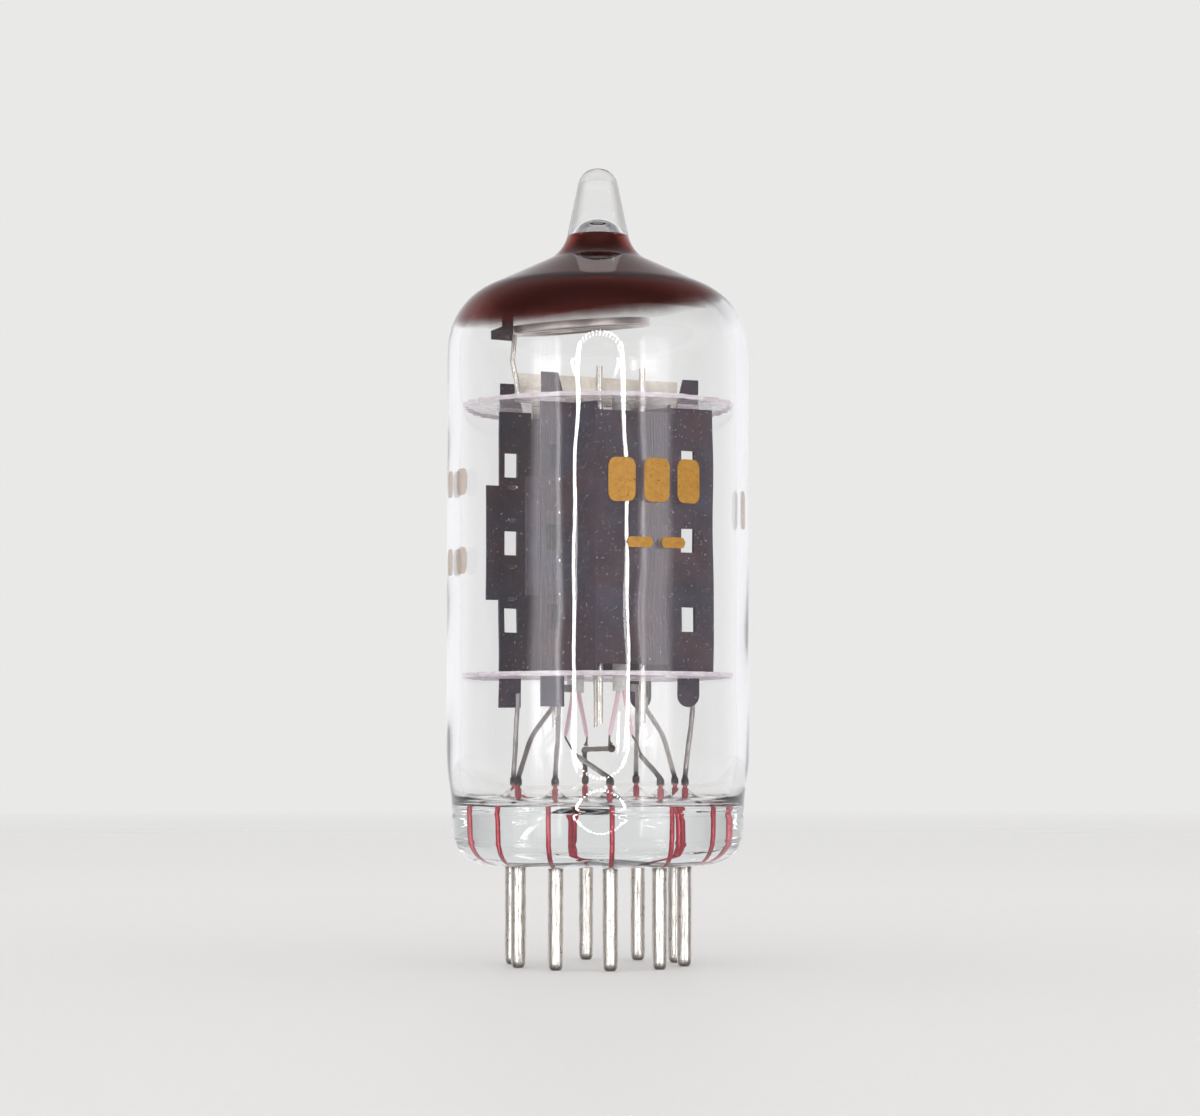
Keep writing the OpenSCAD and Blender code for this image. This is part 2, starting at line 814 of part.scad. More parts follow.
// The mirror of spent getter metal inside the dome, with a slanted lower edge
module getter_film() {
    reach = 4 * bulb_r;
    skirt = shoulder_z - 2 * past;
    color("saddlebrown", 0.7)
        difference() {
            rotate_extrude()
                polygon(concat(
                    [[inner_r - seal_gap, skirt]],
                    inner_dome(seal_gap),
                    reversed(inner_dome(seal_gap + film_t)),
                    [[inner_r - seal_gap - film_t, skirt]]
                ));
            translate([0, 0, film_z])
                rotate([0, 0, film_turn])
                    rotate([film_lean, 0, 0])
                        translate([0, 0, -reach / 2])
                            cube(reach, center = true);
        }
}

glass_bulb();
button_stem();
pin(1);  // pin_1
pin(2);  // pin_2
pin(3);  // pin_3
pin(4);  // pin_4
pin(5);  // pin_5
pin(6);  // pin_6
pin(7);  // pin_7
pin(8);  // pin_8
pin(9);  // pin_9
seal_wire(1);  // seal_wire_1
seal_wire(2);  // seal_wire_2
seal_wire(3);  // seal_wire_3
seal_wire(4);  // seal_wire_4
seal_wire(5);  // seal_wire_5
seal_wire(6);  // seal_wire_6
seal_wire(7);  // seal_wire_7
seal_wire(8);  // seal_wire_8
seal_wire(9);  // seal_wire_9
anode_lead(1, -(tab_u + lead_d), plane - sheet_t - weld_off);  // lead_1
grid_lead(2, -1);  // lead_2
cathode_lead(3, -1);  // lead_3
lead(4, [heater_lead_b()]);  // lead_4
lead(5, [heater_lead_a()]);  // lead_5
anode_lead(6, flange_u - lead_d, -plane + weld_off);  // lead_6
grid_lead(7, 1);  // lead_7
cathode_lead(8, 1);  // lead_8
lead(9, [bridge_end(1), bridge_end(-1)]);  // lead_9
lower_mica();
upper_mica();
anode_front(-plane);  // anode_a_front
anode_back(-plane);  // anode_a_back
anode_front(plane);  // anode_b_front
anode_back(plane);  // anode_b_back
grid_rod(-1, -plane);  // grid_rod_a_left
grid_rod(1, -plane);  // grid_rod_a_right
grid_rod(-1, plane);  // grid_rod_b_left
grid_rod(1, plane);  // grid_rod_b_right
grid_winding(-plane);  // grid_winding_a
grid_winding(plane);  // grid_winding_b
cathode(-plane);  // cathode_a
cathode(plane);  // cathode_b
cathode_ribbon(1);  // cathode_ribbon_a
cathode_ribbon(-1);  // cathode_ribbon_b
heater(-plane, on_bridge(-plane), beyond(foot(5), heater_lead_a(), tail_gap));  // heater_a
heater(plane, beyond(foot(4), heater_lead_b(), tail_gap), on_bridge(plane));  // heater_b
getter_strap();
getter_post();
getter_bracket();
getter_ring();
getter_fill();
getter_film();
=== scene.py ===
"""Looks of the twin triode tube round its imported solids. Metres, Z up, standing on its pins."""
import math

import bpy
import numpy as np
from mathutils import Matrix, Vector


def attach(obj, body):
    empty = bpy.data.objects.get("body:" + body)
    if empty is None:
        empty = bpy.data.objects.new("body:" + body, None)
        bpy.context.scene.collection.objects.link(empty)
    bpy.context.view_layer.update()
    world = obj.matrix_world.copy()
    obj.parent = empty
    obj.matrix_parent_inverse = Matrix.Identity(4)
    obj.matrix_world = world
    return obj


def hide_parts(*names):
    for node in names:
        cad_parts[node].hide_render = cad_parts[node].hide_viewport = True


MM = 0.001

# Sizes in millimetres, the same as the solids have
OVERALL_H = 54.8
BULB_R = 10.35
BULB_WALL = 0.85
SHOULDER_Z = 42.2
SHOULDER_R = 4.7
EASE_R = 16
EASE_TURN = 5
DOME_SLOPE = 25
DOME_TOP_R = 3.5
NECK_R = 2.5
TIP_R = 1.4
TIP_TAPER = 12
TIP_SOLID = 3.8
TIP_HOLLOW_R = 1.15
PIN_LENGTH = 6.85
BASE_H = 4.05
SEAL_FILLET = 0.8
PIP_R = 1.3
PIP_H = 1.2
PIN_CIRCLE_R = 5.945
PIN_PITCH = 36
PIN_COUNT = 9
MIDDLE_PIN = 5
SEAL_WIRE_OUT = 0.15
LEAD_R = 0.17
KNOT_R = 0.26
KNOT_H = 0.5
MICA_Z = 19.5
MICA_T = 0.3
MOUNT_TURN = -18
PLANE = 3.55
ANODE_H = 18.1
TAB_U = 4.24
FLANGE_U = 5.9
SHEET_T = 0.13
TAB_BELOW = 2.0
CRIMP_U = 5.03
CRIMP_W = 0.65
CRIMP_H = 0.28
CRIMP_RISES = (-3.85, -1.6, 1.6, 3.85)
ROD_U = 1.6
ROD_R = 0.225
ROD_BELOW = 3.3
SLEEVE_R = 0.575
SLEEVE_BELOW = 0.9
RIBBON_W = 0.5
RIBBON_REACH = 1.2
HEATER_R = 0.15
HEATER_SPAN = 0.36
HEATER_DROP = 1.5
HEATER_SPREAD = 1.7
HEATER_LEG = 3.0
BRIDGE_DROP = 0.9
TAIL_DROP = 1.5
TAIL_R = 0.07
LONG_TAIL = 2.5
GRID_CLEAR = 0.3
WELD_GAP = 0.02
FILM_Z = 45.4
FILM_LEAN = 13
FILM_TURN = -68

SEAL_Z = PIN_LENGTH + BASE_H
INNER_R = BULB_R - BULB_WALL
LEAD_Z = SEAL_Z + PIP_H + SEAL_WIRE_OUT
LOWER_Z = MICA_Z + MICA_T
UPPER_Z = LOWER_Z + ANODE_H
SLEEVE_FOOT = MICA_Z - SLEEVE_BELOW
HEATER_Z = SLEEVE_FOOT - HEATER_LEG
BRIDGE_Z = HEATER_Z - BRIDGE_DROP
TAIL_Z = HEATER_Z - TAIL_DROP
TAB_WELD_Z = MICA_Z - TAB_BELOW / 2
ROD_WELD_Z = MICA_Z - ROD_BELOW / 2
RIBBON_Z = SLEEVE_FOOT + RIBBON_W / 2

# Which lead goes where, by number, with the side of those that come in pairs
BACK_ANODE_LEAD = 1
FRONT_ANODE_LEAD = 6
GRID_LEADS = {2: -1, 7: 1}
CATHODE_LEADS = {3: -1, 8: 1}
BACK_HEATER_LEAD = 4
FRONT_HEATER_LEAD = 5
BRIDGE_LEAD = 9

# The drawn-in foot as the photograph shows it, within a quarter of a millimetre of the solids outside:
# one long groove over the seam and a slightly bowed band under it
FOOT_TILT = 9.5
FOOT_EASE_R = 15
GROOVE_R = 11.1
SEAM_Z = 10.5
BAND_R = 11.1
BAND_TURN = 9

# The drawn glass: points round it and steps of its arcs
SEGMENTS = 240
ARC_STEPS = 60
DOME_STEPS = 26
EASE_STEPS = 5
CAP_STEPS = 14
FILLET_STEPS = 20
# How far apart its rings of points lie, from under the base over the tip to the middle of the inner floor
UNDER_STEP = 0.5
FOOT_STEP = 0.13
WALL_STEP = 0.7
CROWN_STEP = 0.2
INNER_DOME_STEP = 0.25
INNER_FOOT_STEP = 0.15
FLOOR_STEP = 0.16
FLOOR_STOP_R = 0.3
# The shallow hollow under the base: the radius and rise of each of its points
UNDER_POINTS = ((0.02, 0.22), (1.6, 0.2), (2.6, 0.02), (3.2, 0))
# How far the middle of the base sinks inside the bulb, how wide, and how uneven
DISH = 0.5
DISH_R = 4.8
DISH_UNEVEN = 0.15
# The seam of the seal and the mould line under it: height, depth and half width of each fine crease
CREASES = ((10.35, 0.06, 0.16), (8.45, 0.035, 0.09))
CREASE_EVEN = 0.8
CREASE_UNEVEN = 0.4
# Waviness of the glass outside, inside and on the inner floor
OUTER_WAVE = 0.009
OUTER_FULL = 1.2
INNER_WAVE = 0.02
INNER_SHIFT = 1.3
INNER_STRETCH = 1.4
FLOOR_WAVE = 0.05
# Unevenness of the drawn wall and the heights between which it shows
WALL_WAVE = 0.011
WAVY_FROM = 17
WAVY_TO = 42
WAVY_FADE = 3

# The drawn film: how deep its two faces lie in the glass, how its edge fades and ripples,
# how far under the shoulder it may start and how far under the tip's hollow it ends
FILM_DEPTHS = (0.08, 0.05)
FILM_FADE = 0.8
FILM_RIPPLE = 0.02
FILM_START = 4
FILM_STOP = 0.9
FILM_ROWS = 60

# Drawn wires: points round them, points along them and the reach of their rounded corners
WIRE_SIDES = 14
LEAD_SIDES = 16
TAIL_SIDES = 12
WINDING_SIDES = 6
WIRE_STEP = 0.12
LEAD_STEP = 0.1
BEND_STEPS = 9
SHARP_BEND = 0.35
WIDE_BEND = 0.9
HEATER_BEND = 0.8
TAIL_BEND = 0.3
UPRIGHT = 0.9
# The knot at a lead's foot: its middle, its half length, its edge and its lumps
KNOT_MIDDLE = 0.24
KNOT_HALF = 0.27
KNOT_EDGE = 4
KNOT_LUMPS = 0.12
KNOT_LUMP_RATE = 30
# A lead's swelling and sway, its burnt lumps and how it meets what it is welded to
LEAD_SWELL = 0.04
LEAD_SWELL_RATE = 23
LEAD_SWAY = 0.012
LEAD_SWAY_RATE = 9
LEAD_SWAYS = (1, 1.3, 0)
LUMP_REACH = 0.3
BURNT_LUMP = 0.09
WELD_SQUASH = 1.02
TAB_CLEAR = 0.3
GRID_LEAD_ACROSS = 0.35
GRID_LEAD_RISE = 0.6
# The heater's tapered ends, and its bare tails: in the coating, their sag and their weld
HEATER_END = 0.62
HEATER_TAPER = 0.14
HEATER_FOLD_STEPS = 13
TAIL_INSIDE = 0.3
TAIL_OUTSIDE = 0.05
TAIL_SAG = (0.06, 0, 0.1)
TAIL_WELD = 0.12
TAIL_WELD_REACH = 0.14
# The closely wound grid wire
WINDING_R = 0.04
WINDING_PITCH = 0.34
WINDING_MARGIN = 0.8
WINDING_STEPS = 40
WINDING_SQUARE = 0.8

# The folded tongues in the crimps: how much smaller than their slots, and their bright cut ends
TONGUE_GAP = 0.02
TONGUE_SLACK = 0.01
CUT_REACH = 0.09
CUT_LEAN = 0.02
CUT_HALF_HEIGHTS = (0.05, 0.09)
CUT_HALF_T = 0.06

# Ink on the glass: the heights of its two faces over the wall and its points along a block
INK_FACES = (0.016, 0.03)
INK_STEP = 0.12
INK_FEWEST = 8
# Each block by place round the wall, height, width, length and corner: pills, dashes and faint side blocks
PILLS = [(u, 32.3, 1.8, 2.9, 0.5) for u in (1.6, 4.0, 6.4)]
DASHES = [(u, 28.2, 1.8, 0.7, 0.3) for u in (2.8, 5.2)]
SIDE_BLOCKS = [(u, z, 1.6, 1.8, 0.5) for u in (-13.6, -11.2) for z in (27.3, 32.6)]
SIDE_BLOCKS.append((12.9, 30.8, 1.0, 2.6, 0.4))

# The photograph's view: azimuth from -Y, and the camera's distance, height and place to the side,
# its pitch, lens and sensor, in millimetres, and the nearest it sees, in metres
VIEW_AZIMUTH = math.radians(-44)
VIEW_DISTANCE = 210
VIEW_HEIGHT = 14.2
VIEW_SIDE = 0.15
VIEW_PITCH = math.radians(3.7)
VIEW_LENS = 91.95
VIEW_SENSOR = 36
VIEW_NEAREST = 0.01
TO_CAMERA = Vector((math.sin(VIEW_AZIMUTH), -math.cos(VIEW_AZIMUTH), 0))
TO_RIGHT = Vector((math.cos(VIEW_AZIMUTH), math.sin(VIEW_AZIMUTH), 0))

# The ring of small lamps round the lens, in millimetres: its size, its place past the lens,
# and how much smaller its lamps are where they show as dots
LAMP_R = 77
LAMP_TALL = 0.89
LAMP_BAND = 4.5
LAMP_COUNT = 48
LAMP_ASIDE = 8
LAMP_ABOVE = 8.5
DOTS_FROM = 0.7
DOT_LENGTH = 0.5
DOT_WIDTH = 0.6
LAMP_STRENGTH = 26

# How the streaks of a metal are stretched: not at all, or along a wire
EVEN_GRAIN = (1, 1, 1)
LONG_GRAIN = (1, 1, 0.12)

# The floor: its size in metres and how it fades with distance
FLOOR_R = 1.2
FLOOR_SIDES = 96
FLOOR_FADE = ((0.12, 0.0), (0.2, 0.33), (0.3, 0.6), (0.45, 0.84), (0.6, 1.0))
# The mirrored room: its level, its change towards the camera's side, how it dims overhead and at the sides
ROOM_LEVEL = 0.78
ROOM_FRONT = -0.22
OVERHEAD_FROM = 0.25
OVERHEAD_REACH = 0.4
OVERHEAD_DIM = 0.68
FLAG_WIDTH = 0.55
FLAG_DIM = 0.5
# Each light panel in radians: azimuth and half width, elevation and half height, azimuth of its bright rim
PANELS = (
    (-0.70, 0.235, -0.06, 0.27, -0.53),
    (0.78, 0.25, -0.06, 0.27, 0.60),
)
PANEL_EDGE = 4.0
PANEL_FULL = 1.2
PANEL_LIGHT = 3.2
RIM_WIDTH = 0.035
RIM_GAIN = 0.9
STREAK_SCALE = 46
STREAK_DETAIL = 3
# What shows through the glass: where it darkens high up, low down and far to the sides, and how much
HIGH_FROM = 0.2
HIGH_REACH = 0.45
LOW_TILT = -0.6
SIDE_FROM = 0.4
SIDE_REACH = 0.4
SIDE_DIM = 0.75
THROUGH_DIM = 0.5
# The even light: its level and its rise towards the camera's side and overhead
EVEN_LEVEL = 0.92
EVEN_FRONT = 0.28
EVEN_UP = 0.12

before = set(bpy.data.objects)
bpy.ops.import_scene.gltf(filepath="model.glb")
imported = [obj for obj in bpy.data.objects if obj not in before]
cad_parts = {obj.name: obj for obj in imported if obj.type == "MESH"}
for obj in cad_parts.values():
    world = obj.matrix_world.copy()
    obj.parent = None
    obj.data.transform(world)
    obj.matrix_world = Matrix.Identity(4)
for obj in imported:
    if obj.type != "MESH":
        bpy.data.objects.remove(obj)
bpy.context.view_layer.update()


# meshes

def add_object(name, verts_mm, faces, smooth=True):
    """A mesh object from points in millimetres."""
    mesh = bpy.data.meshes.new(name)
    mesh.from_pydata([tuple(c * MM for c in v) for v in verts_mm], [], faces)
    mesh.validate()
    mesh.update()
    for poly in mesh.polygons:
        poly.use_smooth = smooth
    obj = bpy.data.objects.new(name, mesh)
    bpy.context.scene.collection.objects.link(obj)
    return obj


def grid_faces(rows, columns, first=0, flip=False):
    """Quads between rings of points, closed round each ring."""
    faces = []
    for i in range(rows - 1):
        for j in range(columns):
            k = (j + 1) % columns
            a, b = first + i * columns + j, first + i * columns + k
            c, d = first + (i + 1) * columns + k, first + (i + 1) * columns + j
            faces.append((a, d, c, b) if flip else (a, b, c, d))
    return faces


def arc(centre, r, start, end, steps=ARC_STEPS):
    """Points of an arc between two angles in degrees."""
    angles = np.radians(np.linspace(start, end, steps + 1))
    return [(centre[0] + r * math.cos(a), centre[1] + r * math.sin(a)) for a in angles]


def runs(points):
    """How far along a line each of its points lies."""
    return np.r_[0, np.cumsum(np.linalg.norm(np.diff(points, axis=0), axis=1))]


def points_at(line, places):
    """The points of a line that lie at some places along it."""
    return np.stack([np.interp(places, runs(line), column) for column in line.T], 1)


def resample(points, step):
    """The same outline with points a steady distance apart."""
    line = np.array(points, float)
    length = runs(line)[-1]
    return points_at(line, np.linspace(0, length, max(2, int(length / step)) + 1))


def dome(inset, cap_r, cap_top):
    """Outline of the dome from the straight wall to the axis, as the solids have it."""
    ease = math.radians(EASE_TURN)
    below = (BULB_R - EASE_R, SHOULDER_Z - (EASE_R - SHOULDER_R) * math.sin(ease))
    shoulder = (below[0] + (EASE_R - SHOULDER_R) * math.cos(ease), SHOULDER_Z)
    turn = 90 - DOME_SLOPE
    slope = math.radians(DOME_SLOPE)
    bend_x = shoulder[0] + SHOULDER_R * math.cos(math.radians(turn))
    bend_z = shoulder[1] + SHOULDER_R * math.sin(math.radians(turn))
    top = (DOME_TOP_R, bend_z + (bend_x - DOME_TOP_R) * math.tan(slope))
    hollow = (top[0] + NECK_R * math.sin(slope), top[1] + NECK_R * math.cos(slope))
    cap = (0, cap_top - cap_r)
    return (arc(below, EASE_R - inset, 0, EASE_TURN, EASE_STEPS)[:-1]
            + arc(shoulder, SHOULDER_R - inset, EASE_TURN, turn, DOME_STEPS)
            + arc(hollow, NECK_R + inset, 270 - DOME_SLOPE, 180 + TIP_TAPER, DOME_STEPS)
            + arc(cap, cap_r, TIP_TAPER, 90, CAP_STEPS))


def foot_lines():
    """The foot's outlines: outside from under the base upward, inside from the wall downward."""
    turn = math.radians(FOOT_TILT)
    across, rise = math.cos(turn), math.sin(turn)
    seam_r = BULB_R - (FOOT_EASE_R + GROOVE_R) * (1 - across)
    centre = (BULB_R - FOOT_EASE_R, SEAM_Z + (FOOT_EASE_R + GROOVE_R) * rise)
    band_turn = math.radians(BAND_TURN)
    band = arc((seam_r - BAND_R, SEAM_Z), BAND_R, -BAND_TURN, 0)
    corner_r = (band[0][1] - PIN_LENGTH) / (1 - math.sin(band_turn))
    corner_at = (band[0][0] - corner_r * math.cos(band_turn), PIN_LENGTH + corner_r)
    corner = arc(corner_at, corner_r, -90, -BAND_TURN)
    groove = arc((seam_r + GROOVE_R, SEAM_Z), GROOVE_R, 180, 180 - FOOT_TILT)
    outside = corner[:-1] + band[:-1] + groove[:-1] + arc(centre, FOOT_EASE_R, -FOOT_TILT, 0)
    inner = arc(centre, FOOT_EASE_R - BULB_WALL, 0, -FOOT_TILT)
    fillet_z = SEAL_Z + SEAL_FILLET
    drop = inner[-1][1] - (fillet_z - SEAL_FILLET * rise)
    fillet_at = (inner[-1][0] - drop * rise / across - SEAL_FILLET * across, fillet_z)
    return outside, inner + arc(fillet_at, SEAL_FILLET, -FOOT_TILT, -90, FILLET_STEPS)


def waves(seed, count, low, high):
    """A smooth, repeatable waviness round the axis and along it, about -1 to 1."""
    rng = np.random.default_rng(seed)
    turns = rng.integers(low, high + 1, count)
    rises = rng.uniform(-high / BULB_R, high / BULB_R, count)
    phases = rng.uniform(0, 2 * math.pi, count)

    def value(angle, z):
        parts = (np.sin(t * angle + r * z + p) for t, r, p in zip(turns, rises, phases))
        return sum(parts) / math.sqrt(count)
    return value


def wavy(z):
    """How much of the wall's unevenness shows at a height, 0 to 1."""
    return min(1, max(0, (z - WAVY_FROM) / WAVY_FADE)) * min(1, max(0, (WAVY_TO - z) / WAVY_FADE))


def pin_xy(k):
    """Where a pin stands, in the row frame."""
    a = math.radians((k - MIDDLE_PIN) * PIN_PITCH)
    return PIN_CIRCLE_R * math.sin(a), -PIN_CIRCLE_R * math.cos(a)


def pip_rise(x, y, pins):
    """How far the glass pips round the leads rise over the inner floor at a place."""
    near = min(math.hypot(x - px, y - py) for px, py in pins)
    return PIP_H * (1 + math.cos(math.pi * near / PIP_R)) / 2 if near < PIP_R else 0


def glass_envelope():
    """The bulb and the pressed base as one piece of glass, with its hollow and a pip round each lead."""
    drawn = waves(3, 8, 1, 6)
    uneven = waves(17, 12, 5, 11)
    seam = waves(5, 12, 3, 24)
    outside, inside = foot_lines()
    under = [(r, PIN_LENGTH + rise) for r, rise in UNDER_POINTS]
    crown = dome(0, TIP_R, OVERALL_H)
    outline = np.vstack([
        resample(under + [outside[0]], UNDER_STEP)[:-1],
        resample(outside, FOOT_STEP)[:-1],
        resample([outside[-1], crown[0]], WALL_STEP)[:-1],
        resample(crown, CROWN_STEP),
    ])
    angles = np.linspace(0, 2 * math.pi, SEGMENTS, endpoint=False)
    verts, faces = [], []
    for r, z in outline[:-1]:
        wave = OUTER_WAVE * drawn(angles, z) * min(1, r / BULB_R * OUTER_FULL)
        wave = wave + WALL_WAVE * wavy(z) * (uneven(angles, z) - 1)
        crease = sum(depth * math.exp(-((z - at) / half) ** 2) for at, depth, half in CREASES)
        ring = r + wave - crease * (CREASE_EVEN + CREASE_UNEVEN * seam(angles, z))
        for a, q in zip(angles, ring):
            verts.append((q * math.cos(a), q * math.sin(a), z))
    rows = len(outline) - 1
    faces += grid_faces(rows, SEGMENTS)
    low, top = len(verts), len(verts) + 1
    verts += [(0, 0, under[0][1]), (0, 0, OVERALL_H)]
    for j in range(SEGMENTS):
        k = (j + 1) % SEGMENTS
        faces.append((low, k, j))
        last = (rows - 1) * SEGMENTS
        faces.append((last + j, last + k, top))

    inner = dome(BULB_WALL, TIP_HOLLOW_R, OVERALL_H - TIP_SOLID)
    inner = np.vstack([
        resample(inner[::-1], INNER_DOME_STEP)[:-1],
        resample([inner[0], inside[0]], WALL_STEP)[:-1],
        resample(inside, INNER_FOOT_STEP),
    ])
    floor_r = inner[-1][0]
    rings = list(np.arange(floor_r - FLOOR_STEP, FLOOR_STOP_R, -FLOOR_STEP))
    pins = [pin_xy(k) for k in range(1, PIN_COUNT + 1)]
    start = len(verts)
    for r, z in inner[1:]:
        wave = INNER_WAVE * drawn(angles + INNER_SHIFT, z * INNER_STRETCH) * min(1, r / INNER_R)
        wave = wave + WALL_WAVE * wavy(z) * (uneven(angles, z) - 1)
        for a, w in zip(angles, wave):
            verts.append(((r + w) * math.cos(a), (r + w) * math.sin(a), z))
    for r in rings:
        for a in angles:
            x, y = r * math.cos(a), r * math.sin(a)
            rise = pip_rise(x, y, pins) + FLOOR_WAVE * math.sin(3 * a + r) * (r / floor_r) ** 2
            dish = DISH * max(0, 1 - (r / DISH_R) ** 2) ** 2
            verts.append((x, y, SEAL_Z + rise - dish * (1 + DISH_UNEVEN * math.sin(2 * a + 1))))
    rows = len(inner) - 1 + len(rings)
    faces += grid_faces(rows, SEGMENTS, start)
    top, low = len(verts), len(verts) + 1
    verts += [(0, 0, OVERALL_H - TIP_SOLID), (0, 0, SEAL_Z - DISH)]
    for j in range(SEGMENTS):
        k = (j + 1) % SEGMENTS
        faces.append((top, start + k, start + j))
        last = start + (rows - 1) * SEGMENTS
        faces.append((last + j, last + k, low))
    return add_object("glass_envelope", verts, faces)


def film_edge(angle):
    """Height of the lower edge of the getter film at an angle round the axis."""
    lean = math.tan(math.radians(FILM_LEAN))
    low_side = math.radians(FILM_TURN)
    ahead = math.sin(angle) * math.cos(low_side) - math.cos(angle) * math.sin(low_side)
    return FILM_Z + lean * INNER_R * ahead


def getter_mirror():
    """The thin film of getter metal under the dome, from its slanted edge to the root of the tip."""
    ripple = waves(11, 10, 2, 14)
    angles = np.linspace(0, 2 * math.pi, SEGMENTS, endpoint=False)
    verts = []
    for depth in FILM_DEPTHS:
        line = dome(BULB_WALL - depth, TIP_HOLLOW_R, OVERALL_H - TIP_SOLID)
        line = np.array([(INNER_R + depth, SHOULDER_Z - FILM_START)] + line)
        line = line[line[:, 1] < OVERALL_H - TIP_SOLID - FILM_STOP]
        lengths = runs(line)
        columns = []
        for a in angles:
            edge = film_edge(a) - FILM_FADE + FILM_RIPPLE * float(ripple(a, 0))
            begin = np.interp(edge, line[:, 1], lengths)
            columns.append(points_at(line, np.linspace(begin, lengths[-1], FILM_ROWS)))
        for i in range(FILM_ROWS):
            for a, column in zip(angles, columns):
                r, z = column[i]
                verts.append((r * math.cos(a), r * math.sin(a), z))
    n = SEGMENTS
    faces = grid_faces(FILM_ROWS, n) + grid_faces(FILM_ROWS, n, FILM_ROWS * n, flip=True)
    for j in range(n):
        k = (j + 1) % n
        faces.append((j, FILM_ROWS * n + j, FILM_ROWS * n + k, k))
        a, b = (FILM_ROWS - 1) * n, (2 * FILM_ROWS - 1) * n
        faces.append((a + k, b + k, b + j, a + j))
    return add_object("getter_mirror", verts, faces)


def smooth_path(points, step, bend):
    """A path through the points whose corners are rounded."""
    points = [np.array(p, float) for p in points]
    path = [points[0]]
    for before, here, after in zip(points, points[1:], points[2:]):
        reach = min(bend, np.linalg.norm(here - before) / 2, np.linalg.norm(after - here) / 2)
        p = here + (before - here) / np.linalg.norm(before - here) * reach
        q = here + (after - here) / np.linalg.norm(after - here) * reach
        for t in np.linspace(0, 1, BEND_STEPS):
            path.append((1 - t) ** 2 * p + 2 * t * (1 - t) * here + t * t * q)
    path.append(points[-1])
    path = np.array(path)
    length = runs(path)[-1]
    return points_at(path, np.linspace(0, length, max(3, int(length / step))))


def tube(verts, faces, path, radii, sides):
    """Adds a round closed tube along a path to a list of points and faces."""
    path = np.array(path, float)
    radii = np.broadcast_to(radii, (len(path),))
    headings = np.gradient(path, axis=0)
    headings /= np.linalg.norm(headings, axis=1)[:, None]
    across = np.cross(headings[0], (0, 0, 1) if abs(headings[0][2]) < UPRIGHT else (1, 0, 0))
    start = len(verts)
    for p, heading, r in zip(path, headings, radii):
        across = across - heading * np.dot(across, heading)
        across /= np.linalg.norm(across)
        up = np.cross(heading, across)
        for s in range(sides):
            a = 2 * math.pi * s / sides
            verts.append(tuple(p + r * (math.cos(a) * across + math.sin(a) * up)))
    faces += grid_faces(len(path), sides, start)
    faces.append(tuple(start + s for s in range(sides))[::-1])
    last = start + (len(path) - 1) * sides
    faces.append(tuple(last + s for s in range(sides)))


def in_mount(point):
    """A point of the electrodes' own frame in the row frame."""
    a = math.radians(MOUNT_TURN)
    x, y, z = point
    return (x * math.cos(a) - y * math.sin(a), x * math.sin(a) + y * math.cos(a), z)


def foot(k):
    """Where a lead starts on the glass, in the electrodes' frame."""
    a = math.radians((k - MIDDLE_PIN) * PIN_PITCH - MOUNT_TURN)
    return np.array([PIN_CIRCLE_R * math.sin(a), -PIN_CIRCLE_R * math.cos(a), LEAD_Z])


def lead_routes():
    """The points of each lead above its foot, in the electrodes' frame."""
    bead = LEAD_R * WELD_SQUASH + WELD_GAP
    beside_tabs = {
        BACK_ANODE_LEAD: (-(TAB_U + 2 * LEAD_R), PLANE - SHEET_T - bead),
        FRONT_ANODE_LEAD: (FLANGE_U - 2 * LEAD_R, -PLANE + bead),
    }
    routes = {}
    for k, (x, y) in beside_tabs.items():
        routes[k] = [(x, y, MICA_Z - TAB_BELOW - TAB_CLEAR), (x, y, TAB_WELD_Z)]
    for k, side in GRID_LEADS.items():
        start = foot(k)
        target = side * np.array([ROD_U, -PLANE, 0])
        reach = np.array([target[0] - start[0], target[1] - start[1], 0])
        beside = target - reach / np.linalg.norm(reach) * (ROD_R + LEAD_R + WELD_GAP)
        rise = ROD_WELD_Z - LEAD_Z
        routes[k] = [
            start + GRID_LEAD_ACROSS * reach + [0, 0, GRID_LEAD_RISE * rise],
            (beside[0], beside[1], ROD_WELD_Z - 2 * LEAD_R),
            (beside[0], beside[1], ROD_WELD_Z + 2 * LEAD_R),
        ]
    for k, side in CATHODE_LEADS.items():
        top = np.array([side * (ROD_U + RIBBON_W / 2), side * (-PLANE + RIBBON_REACH), RIBBON_Z])
        routes[k] = [top - [0, 0, 2 * RIBBON_W], top + [0, 0, RIBBON_W / 2]]
    routes[BACK_HEATER_LEAD] = [(-HEATER_SPREAD / 2, PLANE - LONG_TAIL, TAIL_Z)]
    routes[FRONT_HEATER_LEAD] = [(ROD_U, -PLANE, TAIL_Z)]
    bridge = np.array([HEATER_SPREAD / 2, PLANE + 2 * LEAD_R, 0])
    routes[BRIDGE_LEAD] = [bridge + [0, 0, BRIDGE_Z], -bridge + [0, 0, BRIDGE_Z]]
    return routes


